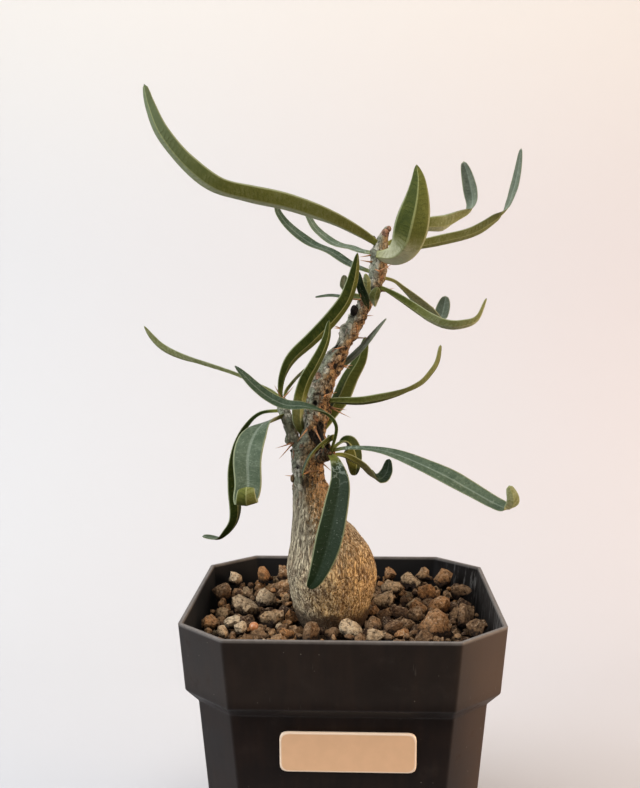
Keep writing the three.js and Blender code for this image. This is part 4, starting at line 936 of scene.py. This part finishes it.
# Each leaf: width in mm, where along it it is widest, its fold in degrees, how bluntly it starts and
# ends; how pale from 0 to 1 its upper side is, the left and the right half of its underside, and what
# the base adds to those; x, y, z of the ways that its width runs in, from base to tip, in hundredths;
# and x, y, z of the points of its midrib in mm
# The paleness numbers are partly each leaf's own tone and partly painted light and shade; the two halves
# of an underside differ mostly by painted shade.
LEAVES = {
    "top_left": ((8.4, 0.5, 27, 0.7, 0.42), (0.5, 0.9, 0.52, 0.07),
        [57, -74, 35, 45, -74, 49, 31, -75, 58, 64, -61, 47, 94, -26, 23],
        [12, 0, 210, 6, -3, 213.5, -4, -9, 218, -16.5, -13.5, 222, -29, -16.5, 224.5, -39.5, -19, 227.5,
         -48.5, -21, 234.5, -55.5, -22, 243.5, -59, -21.5, 252, -60.5, -21, 258.5]),
    "left_dark": ((5.8, 0.55, 8, 0.9, 0.3), (0.33, 0.5, 0.5, 0),
        [-43, -80, -41, -68, -71, -16, -58, -78, -24, -58, -80, -16],
        [11, 0, 201.5, 2.5, 3, 204.5, -4.5, 8, 209, -11.5, 11, 212, -18.5, 14.5, 217.5, -22.5, 16, 222.5,
         -23.5, 16, 226]),
    "left_grey": ((4.4, 0.55, 10, 0.9, 0.3), (0.51, 0.5, 0.5, 0),
        [-49, -59, -64, -78, -56, -28, -71, -67, -20, -68, -70, -22, -64, -74, -20],
        [12, 1, 208, 6, 5, 209, 2, 9.5, 210.5, -2, 13.5, 211.5, -5.5, 16.5, 213.5, -10, 19.5, 217.5,
         -12.5, 21.5, 221.5, -14, 22, 224.5]),
    "top_front": ((10.8, 0.5, 20, 1.5, 0.7), (0.5, 0.23, 0.4, 0.8),
        [30, 30, -90, 40, 30, -85, 94, 0, -35, 98, -3, -20, 100, -5, -5, 100, -7, 13],
        [12, -0.5, 206.8, 11, -3.4, 207, 15, -6, 206.5, 18, -8.6, 208, 20, -11, 211, 21.5, -12.5, 216.5,
         23, -12, 224, 23.5, -10.5, 230.5, 23, -8.5, 235.5]),
    "top_back": ((7.2, 0.6, 24, 0.8, 0.38), (0.77, 0.79, 1, -0.38),
        [-30, 60, -74, -3, 62, -79, -7, 62, -78, -14, 62, -77, -11, 99, -9, -82, 57, 2, -86, 48, -17],
        [12.5, 1, 210.5, 18.5, 7, 213, 27, 12, 217.5, 34.5, 16.5, 218.5, 39.5, 19.5, 221, 43, 20.5, 223.5,
         44, 19.5, 227, 43, 17.5, 231.5, 41.5, 15.5, 236, 40, 14, 239.5]),
    "right_long": ((4.7, 0.5, 14, 0.8, 0.4), (0.71, 0.69, 0.68, -0.07),
        [14, 70, -70, 14, 64, -76, -5, 68, -73, 0, 69, -73, 4, 69, -72, 10, 69, -71, 39, 67, -63,
         54, 75, -37, -24, 85, 48, -64, 67, 38, -72, 64, 28, -77, 59, 24],
        [12, 0, 205, 17, 3, 209, 25, 5.5, 211, 32, 7, 212.5, 42, 8.5, 215, 48.5, 8, 218.5, 53.5, 6, 223,
         55.5, 3.5, 229, 56.5, 1.5, 235, 57, -0.5, 241.5]),
    "right_curl": ((7.6, 0.72, 16, 1.25, 0.45), (0.7, 0.86, 0.79, -0.13),
        [-53, 76, -37, -80, 58, -11, -76, 64, -13, -76, 65, -7, -55, 79, 28, -96, 22, 17],
        [11, 0, 200.6, 16, 3, 199.5, 19.5, 7, 197, 23.5, 11, 193.5, 27, 15, 190, 30.5, 18.5, 187,
         33.5, 20.5, 187, 34.5, 20.5, 190.5, 35, 19.5, 194.5]),
    "right_low": ((4.3, 0.5, 14, 0.9, 0.45), (0.6, 0.74, 0.92, -0.4),
        [-12, 79, -61, -3, 72, -70, -12, 73, -67, 9, 63, -77, 58, 70, -42],
        [10, -1, 198, 14, -2, 196, 18, -5, 193.5, 23, -8, 190, 27.5, -10.3, 187, 32.5, -11.2, 185,
         37.5, -11.3, 185, 42.5, -10.5, 187, 45.5, -9, 193.5]),
    "thin_left": ((2.2, 0.55, 8, 0.5, 0.3), (0.27, 0.5, 0.5, 0),
        [-16, -90, -41, 5, -90, -43],
        [8, 1, 193, 0, 2, 194, -4.5, 2.5, 194.5, -9.5, 2.5, 194]),
    "small_grey": ((4.2, 0.62, 12, 0.8, 0.4), (0.51, 0.5, 0.5, 0),
        [0, -90, 40, -90, -40, 0],
        [7.5, 1.8, 194, 2.5, 7, 195, 0, 9.5, 197, 0, 10.5, 201.5]),
    "small_dark": ((2.9, 0.55, 16, 0.8, 0.5), (-0.2, 0.3, 0.3, 0.35),
        [-100, -20, -30, -90, 40, -30],
        [7.9, -1.3, 190, 7, -3.5, 193.5, 5.5, -5, 197.5, 5, -5.5, 202]),
    "stub": ((3.4, 0.6, 10, 0.8, 0.5), (0.4, 0.61, 0.6, 0.39),
        [100, 10, 0, 100, 0, 0],
        [10.2, -1.5, 191, 10, -4, 194, 11, -6, 197]),
    "small_olive": ((2.6, 0.6, 12, 0.7, 0.45), (0.5, 0.78, 0.72, 0),
        [89, 12, 44, 98, 6, 19, 98, -1, 20],
        [9.2, -1.2, 192.6, 7.5, -2.9, 196.5, 7.5, -3.7, 199, 7, -3.9, 201.5]),
    "tall_left": ((6.5, 0.6, 24, 0.7, 0.62), (0.5, 0.09, 0.35, 0.09),
        [69, 68, 25, 65, 62, -44, 57, 61, -55, 78, 60, -19, 87, 50, 1],
        [-20.3, -2.5, 160, -20.5, -3.5, 163.5, -19.5, -4.5, 168.5, -16.5, -5, 174, -10, -5.3, 180,
         -3.5, -5.7, 186.5, 1, -6.5, 192.5, 3, -7.6, 198, 4, -8.8, 203, 4.5, -9.8, 208]),
    "crotch": ((5.4, 0.45, 22, 0.75, 0.45), (0.5, 0.11, 0.2, 0.6),
        [66, 56, 50, 81, 59, -3, 73, 58, -35, 84, 52, -11],
        [-13.2, -1.8, 148.5, -14.5, -5.5, 154.5, -13.5, -7.5, 161.5, -11.5, -9, 167.5, -9, -9.8, 172,
         -6.5, -10, 177, -5, -9.8, 181.5, -4.5, -9.5, 186.5]),
    "thin_grey": ((3, 0.5, 10, 0.8, 0.5), (0.8, 1, 1, -0.4),
        [30, 90, 0, 30, 90, 0],
        [-19.8, -1.2, 161.5, -18.5, 0.6, 164, -15, 2, 168, -10, 4, 172.5]),
    "right_back": ((6.8, 0.5, 22, 0.8, 0.4), (0.5, 0.14, 0.4, -0.13),
        [82, -50, -27, 85, -45, -26, 75, -52, -40, 54, -49, -68],
        [-8, 1, 149, -4.5, 3, 156, -1.5, 6, 160.5, 1.5, 8.5, 167, 5, 9.3, 173, 7, 9, 179.5,
         7.5, 8.8, 180.5]),
    "right_thin": ((3.8, 0.45, 12, 0.7, 0.5), (0.78, 0.6, 0.6, 0),
        [-60, 73, 33, -29, 86, 43, -22, 87, 43],
        [-2.5, 1, 170, 1.5, 3, 172.8, 7.3, 2.5, 178.5, 14, 0, 187]),
    "right_mid": ((4, 0.5, 12, 0.7, 0.35), (0.6, 0.66, 0.46, -0.19),
        [41, 55, -73, 10, 61, -79, 25, 67, -70, 16, 89, -43, 44, 75, -49, 74, 64, -21],
        [-8, 0, 159.5, -3, -3, 160, 5.5, -4.8, 160, 13.5, -6, 161.5, 20, -6.3, 163.5, 25, -6, 166,
         28, -5.4, 169, 30.5, -4.7, 173, 31.5, -4, 178.5]),
    "far_left": ((3.7, 0.7, 14, 0.7, 0.6), (0.6, 0.81, 0.81, -0.03),
        [29, -79, 55, -1, -79, 62, -6, -86, 51, -3, -87, 49, 38, -61, 70, 84, -32, 44],
        [-19.5, -2, 159.5, -23.5, -1, 163, -29.5, 1, 165.5, -36.5, 3, 168.5, -47, 5.5, 171.5,
         -55.5, 7, 174, -61.5, 7.5, 177, -65, 7, 180.5, -67.5, 6, 184.5]),
    "loop": ((4.3, 0.68, 16, 0.9, 0.6), (0.24, 0.25, 0.25, -0.1),
        [43, -73, -52, 48, -73, -49, 48, -86, 17, -6, -97, -23, -7, -76, -64, -34, -70, -63,
         -49, -68, -54, -63, -60, -48, -67, -51, -53],
        [-4.2, -7.2, 143.6, -2.5, -10.4, 149.5, -2.5, -12.2, 153.5, -5.5, -12.6, 157, -12, -12.6, 159,
         -18.5, -12.1, 159.5, -24, -11.5, 162, -28.5, -11, 165.5, -32, -10.3, 169, -35, -9.5, 172]),
    "hang_back": ((5.9, 0.7, 24, 0.9, 0.45), (0.5, 0.04, 0.03, -0.03),
        [-43, -75, 49, -62, -67, 41, -76, -64, 12, -71, -70, -2, -67, -74, -7, -68, -73, -1, -30, -82, 48,
         2, -80, -60],
        [-20, -1.5, 156.8, -27.5, 2, 155.5, -32.5, 5, 151, -36, 8, 144.5, -37.5, 9.7, 136.5,
         -37.5, 10.4, 128, -37, 10.5, 120, -38.5, 10, 115, -43, 9, 111, -49, 8, 112]),
    "hang_wide": ((8.9, 0.5, 10, 0.8, 0.25), (0.43, 0.4, 0.61, 0.27),
        [60, -70, 50, 100, 0, 20, 100, 10, 10, 100, 10, 10],
        [-18.7, -2.5, 155.5, -23, -5, 154, -26.5, -10, 152.5, -29, -15, 148.5, -30, -19, 143,
         -29.5, -22.5, 135.5, -30, -24.5, 131.5, -29.5, -26.8, 130, -29.5, -28.6, 131.5,
         -29.5, -28.9, 134, -29.5, -27.5, 135.5, -30, -26, 134.5]),
    "broad_right": ((7, 0.66, 12, 1.3, 0.38), (0.39, 0.86, 0.84, 0),
        [0, 80, 50, 30, 70, 60, 50, 60, 30, 100, 20, 0],
        [-4, -6, 144, 2, -10, 145.5, 10, -13.5, 145.5, 18, -17.5, 144, 30, -23.5, 139.5, 39, -27.5, 135,
         46, -30.7, 131.5, 50, -32.5, 130.5, 51, -34.5, 133.5, 49.5, -35, 138]),
    "hang_front": ((8.5, 0.6, 18, 0.75, 0.42), (-0.12, 0.5, 0.5, 0),
        [100, 0, 0, 100, 0, 0],
        [-4.5, -7.5, 143, -2.5, -11, 141, -1, -15.5, 135.5, -2, -19, 128.5, -3.5, -22, 121.5,
         -5.5, -24, 114, -8, -25.3, 107.5, -10.5, -25.5, 103.5]),
    "short_wide": ((7, 0.66, 16, 0.8, 0.35), (0.5, 0.06, 0.5, -0.26),
        [60, -80, 30, -70, -80, 0, -80, -60, 0],
        [-5, -6, 143, -1, -2.5, 146.2, 2.2, 2, 144.8, 4, 6, 139.5, 3.8, 8, 133.5]),
    "twist": ((6.2, 0.68, 16, 0.9, 0.4), (0.08, 0.92, 0.92, -0.4),
        [-26, 30, -92, -58, 41, -70, -78, 58, -26, -69, 72, 12, -36, 69, 63, -79, 60, 11, -84, 54, 7],
        [-5, -6, 142.5, 0, -3, 142, 5, 1.5, 138.5, 9, 6, 134, 12.5, 10, 132, 14.8, 12.5, 134,
         15.5, 13, 138.5]),
    "narrow_front": ((3.6, 0.5, 16, 0.8, 0.5), (0.3, 0.45, 0.45, -0.09),
        [20, -80, 60, 30, -80, 40, 30, -90, 0],
        [-6.8, -6, 144.7, -4, -8.4, 148.5, -6, -10, 147.5, -9, -11.2, 145, -11.5, -11.3, 141.5,
         -13, -10.8, 137.5, -13, -10.4, 135.5]),
}
UPPER_TONES = [
    (0.0, (0.008, 0.018, 0.006)), (0.25, (0.024, 0.042, 0.022)), (0.5, (0.07, 0.096, 0.06)),
    (0.75, (0.135, 0.16, 0.115)), (1.0, (0.25, 0.27, 0.2)),
]
UNDER_TONES = [
    (0.0, (0.014, 0.026, 0.001)), (0.25, (0.046, 0.058, 0.008)), (0.5, (0.095, 0.104, 0.02)),
    (0.75, (0.155, 0.17, 0.065)), (1.0, (0.3, 0.315, 0.185)),
]
BLOOM, RIB_PALE = (0.3, 0.35, 0.29), (0.27, 0.285, 0.12)
MARGIN_PALE, STALK_PALE = (0.3, 0.32, 0.18), (0.17, 0.18, 0.035)
FELT_PALE, TIP_GREY = (0.56, 0.55, 0.41), (0.08, 0.112, 0.065)
VEIN_PITCH, VEIN_SLANT = 1.5 * MM, 0.9


def leaf_shell(seed, width, peak, fold, start, end, ways, midrib):
    """A closed skin round the midrib C(s), s from 0 at the stem to 1 at the tip, and v from -1 to 1
    across. The half width is w/2 (stalk (1-s)^2 + |sin(pi s^k)|^full) with k = ln 0.5 / ln peak, the
    halves rise with |v|, the margins wave, and the thickness shrinks to nothing at the margin."""
    line, length = spline(np.reshape(midrib, (-1, 3)) * MM, LEAF_RINGS)
    along = unit(np.gradient(line, axis=0))
    s = np.linspace(0, 1, LEAF_RINGS)
    ways = unit(np.reshape(ways, (-1, 3)) / 100)
    turn = s * (len(ways) - 1)
    side = np.stack([np.interp(turn, np.arange(len(ways)), way) for way in ways.T], 1)
    side = unit(side - (side * along).sum(1, keepdims=True) * along)
    up = np.cross(along, side)
    body = abs(np.sin(np.pi * s ** (np.log(0.5) / np.log(peak)))) ** np.interp(s, (0, 1), (start, end))
    half = width * MM / 2 * (LEAF_STALK * (1 - s) ** 2 + body)
    half[-1] = 0
    s, half = s[:, None], half[:, None]
    v = np.linspace(-1, 1, LEAF_ACROSS)
    v = np.concatenate([v, v[-2:0:-1]])
    upper = np.arange(len(v)) < LEAF_ACROSS
    thick = LEAF_THICK / 2 * np.sqrt(1 - v**2) * (1 - LEAF_THIN * s) * (half > 0)
    rib = np.exp(-((v / RIB_HALF) ** 2)) * LEAF_RIB * (1 - s) ** 0.7 * (half > 0)
    lift = np.where(upper, thick - RIB_SUNK * rib, -thick - rib)
    rise = (np.sqrt(v**2 + FOLD_SOFT) - FOLD_SOFT**0.5) * np.sin(np.radians(fold))
    phase = 2.4 * seed
    wave = v**2 * np.sin(s * length / WAVE_LONG + phase + np.sign(v))
    rise = rise + WAVE_UP * wave * np.sin(np.pi * s)
    ripple = np.sin(s * length / WAVE_SHORT + 1.7 * phase)
    wide = v * np.cos(np.radians(fold)) * (1 + WAVE_OUT * ripple)
    skin = line[:, None] + side[:, None] * (half * wide)[..., None]
    skin = skin + up[:, None] * (half * rise + lift)[..., None]
    skin[0] = line[0]
    return skin, np.stack(np.broadcast_arrays(s, v, upper), -1), length


def leaf_finish():
    """Waxy upper side with grey bloom, faint slanting veins and a fine net near the stem; olive
    underside with a pale midrib, with felt where its base is pale, and grey at the tip of the
    longest leaf; a thin pale margin and a pale stalk. The attributes `tone` and `under` carry a
    leaf's length in decimetres and how pale its upper side, its base and the halves of its
    underside are; that paleness is partly each leaf's own tone and partly painted light and shade,
    and the underside's halves differ mostly by painted shade."""
    finish, place = new_finish("leaf_blade", Specular_IOR_Level=0.13)
    s, v, upper = marked(place)
    length, pale, base = marked(place, "tone")
    left, right, _ = marked(place, "under")
    cloud = place.noise(4, 5)
    patch = place.noise(1.6, 4, 0.6)
    fine = place.noise(0.5, 4, 0.7)
    away = abs(v)
    ripple = (s * length * (0.1 / VEIN_PITCH) - away * VEIN_SLANT + 1.6 * (patch - 0.5)) * (2 * np.pi)
    veins = (ripple.math("SINE") * 0.5 + 0.5).rise(0.6, 1.0) * away.rise(1.0, 0.5) * cloud.rise(0.35, 0.6)
    rib = away.rise(0.14, 0.05)
    spots = 0.35 * (cloud - 0.5) + 0.36 * (patch - 0.5) + 0.36 * (fine - 0.5)
    top = (pale + spots).ramp(UPPER_TONES)
    flecks = fine.rise(0.57, 0.68) * patch.rise(0.48, 0.64) * 0.5
    bent = place.vector("ADD", place.noise(2, 2, 0.5, "Color").vector("SCALE", Scale=3 * MM))
    net = bent.cells(3.2, "DISTANCE_TO_EDGE").rise(0.08, 0.02) * (s * length).rise(0.16, 0.05)
    net = net * length.rise(0.15, 0.3) * 0.4
    clear = 0.08 + 0.45 * pale
    top = (flecks + (veins * 0.2 + rib * 0.9) * clear + net).mix(top, BLOOM)
    # The underside's halves: painted shade on the half turned from the light.
    half = left + (right - left) * v.rise(-0.06, 0.06) + base * s.rise(0.5, 0.25)
    felt = s.rise(0.5, 0.1) * base.rise(0.6, 0.8) * (0.38 + 0.8 * (patch - 0.5) - 0.2 * veins)
    below = coated(
        (half + spots - 0.1 * veins).ramp(UNDER_TONES),
        (s.rise(0.5, 0.95) * length.rise(0.8, 0.95) * 0.7, TIP_GREY),
        (felt, FELT_PALE),
        (away.rise(0.1, 0.03) * 0.65, RIB_PALE),
    )
    blade = coated(
        upper.rise(0.2, 0.8).mix(below, top),
        (away.rise(0.86, 0.95) * 0.55, MARGIN_PALE),
        ((s * length).rise(0.07, 0.02) * length.rise(0.1, 0.25) * 0.75, STALK_PALE),
    )
    return feed(
        finish,
        Base_Color=blade,
        Roughness=0.4 + 0.12 * cloud + 0.18 * (1 - upper) + 0.1 * fine,
        Normal=(fine * 0.6 + veins * 0.5 + patch * 0.8).relief(0.15),
    )


leaf_green = leaf_finish()
for seed, (name, (form, (pale, left, right, base), ways, midrib)) in enumerate(LEAVES.items()):
    skin, mark, length = leaf_shell(seed, *form, ways, midrib)
    tone = np.array([length / (100 * MM), pale, base])
    marks = {"mark": [mark], "tone": [tone], "under": [np.array([left, right, 0])]}
    make_piece("blade_" + name, [skin], ["leaf_" + name], leaf_green, marks)

# The studio: a pale floor that sweeps up into a backdrop, soft cool light from a window side on the
# left, a weaker warm light on the right, and the camera at the photograph's angle and distance.
FLOOR_FRONT, FLOOR_BACK, SWEEP_RADIUS, SWEEP_TOP, STAGE_HALF = -0.7, 0.62, 0.45, 1.6, 2.2
STAGE_COOL_LIT, STAGE_WARM_LIT, STAGE_TOP_LIT = (0.495, 0.51, 0.535), (0.485, 0.465, 0.485), (0.59, 0.585, 0.57)
FLOOR_BROWN, CARD_EDGE = (0.035, 0.022, 0.016), -0.11
ROOM_COLOUR, ROOM_STRENGTH = (1.0, 0.9, 0.82, 1), 0.13
SWEEP_STEPS, STAGE_STEPS = 24, 9
CAMERA_PLACE, CAMERA_TURN, CAMERA_LENS = (0.005, -0.334, 0.1913), (85.0, 0.1, 2.2), 46.3


def stage_mesh():
    """The floor's profile, flat, then a quarter circle, then upright, carried sideways."""
    bend = np.linspace(0, np.pi / 2, SWEEP_STEPS)
    y = np.r_[FLOOR_FRONT, FLOOR_BACK - SWEEP_RADIUS + SWEEP_RADIUS * np.sin(bend), FLOOR_BACK]
    z = np.r_[0, SWEEP_RADIUS * (1 - np.cos(bend)), SWEEP_TOP]
    x = np.linspace(-STAGE_HALF, STAGE_HALF, STAGE_STEPS)
    points = np.stack(np.broadcast_arrays(x[None], y[:, None], z[:, None]), -1)
    r, c = np.mgrid[0 : len(y) - 1, 0 : len(x) - 1]
    corner = r * len(x) + c
    quads = np.stack([corner, corner + 1, corner + len(x) + 1, corner + len(x)], -1)
    mesh = bpy.data.meshes.new("stage")
    mesh.from_pydata(points.reshape(-1, 3).tolist(), [], quads.reshape(-1, 4).tolist())
    mesh.shade_smooth()
    return mesh


def stage_finish():
    """A matt pale backdrop with painted light on it: tinted cool on the left, warm on the right, and
    brighter and warmer above. In front of the pot, where its front edge ends, the floor is dark brown."""
    finish, place = new_finish("stage_card", Specular_IOR_Level=0.1, Roughness=0.9)
    across, depth, height = split(place)
    cloud = place.noise(250, 2)
    # Painted light: a cool tint on the left, a warm one on the right, brighter above.
    low = (across + 0.2 * (cloud - 0.5)).rise(-0.35, 0.4).mix(STAGE_COOL_LIT, STAGE_WARM_LIT)
    card = height.rise(0.2, 0.6).mix(low, STAGE_TOP_LIT)
    return feed(
        finish,
        Base_Color=depth.rise(CARD_EDGE - 1 * MM, CARD_EDGE).mix(FLOOR_BROWN, card),
        Normal=place.noise(1.5, 3).relief(0.03),
    )


stage = placed("stage", stage_mesh())
stage.data.materials.append(stage_finish())

LIGHTS = [  # name, place in metres, aimed at, size in metres, watts, colour
    ("window", (-0.8, -0.4, 0.55), (0, 0, 0.14), 0.8, 13.0, (0.94, 0.97, 1.0)),
    ("warm_side", (0.8, -0.28, 0.35), (0, 0, 0.12), 0.6, 7.4, (1.0, 0.82, 0.64)),
    ("warm_low", (0.75, -0.02, 0.09), (0, 0, 0.06), 0.3, 4.5, (1.0, 0.62, 0.36)),
    ("ceiling", (-0.1, -0.3, 1.1), (0, 0, 0.1), 1.0, 12.0, (1.0, 0.98, 0.95)),
]


def aimed(place, target):
    """The turn that points an object's -Z from its place to the target."""
    way = Vector(target) - Vector(place)
    return way.to_track_quat("-Z", "Y").to_euler()


for name, place, target, size, watts, colour in LIGHTS:
    lamp = bpy.data.lights.new(name, "AREA")
    lamp.size, lamp.energy, lamp.color = size, watts, colour
    shade = placed(name, lamp)
    shade.location, shade.rotation_euler = place, aimed(place, target)

world = bpy.data.worlds.new("soft_room")
world.use_nodes = True
room_light = world.node_tree.nodes["Background"].inputs
room_light["Color"].default_value, room_light["Strength"].default_value = ROOM_COLOUR, ROOM_STRENGTH
bpy.context.scene.world = world
bpy.context.scene.view_settings.view_transform = "Standard"

camera = placed("camera", bpy.data.cameras.new("camera"))
camera.data.lens, camera.data.clip_start = CAMERA_LENS, 0.01
camera.location, camera.rotation_euler = CAMERA_PLACE, np.radians(CAMERA_TURN)
bpy.context.scene.camera = camera
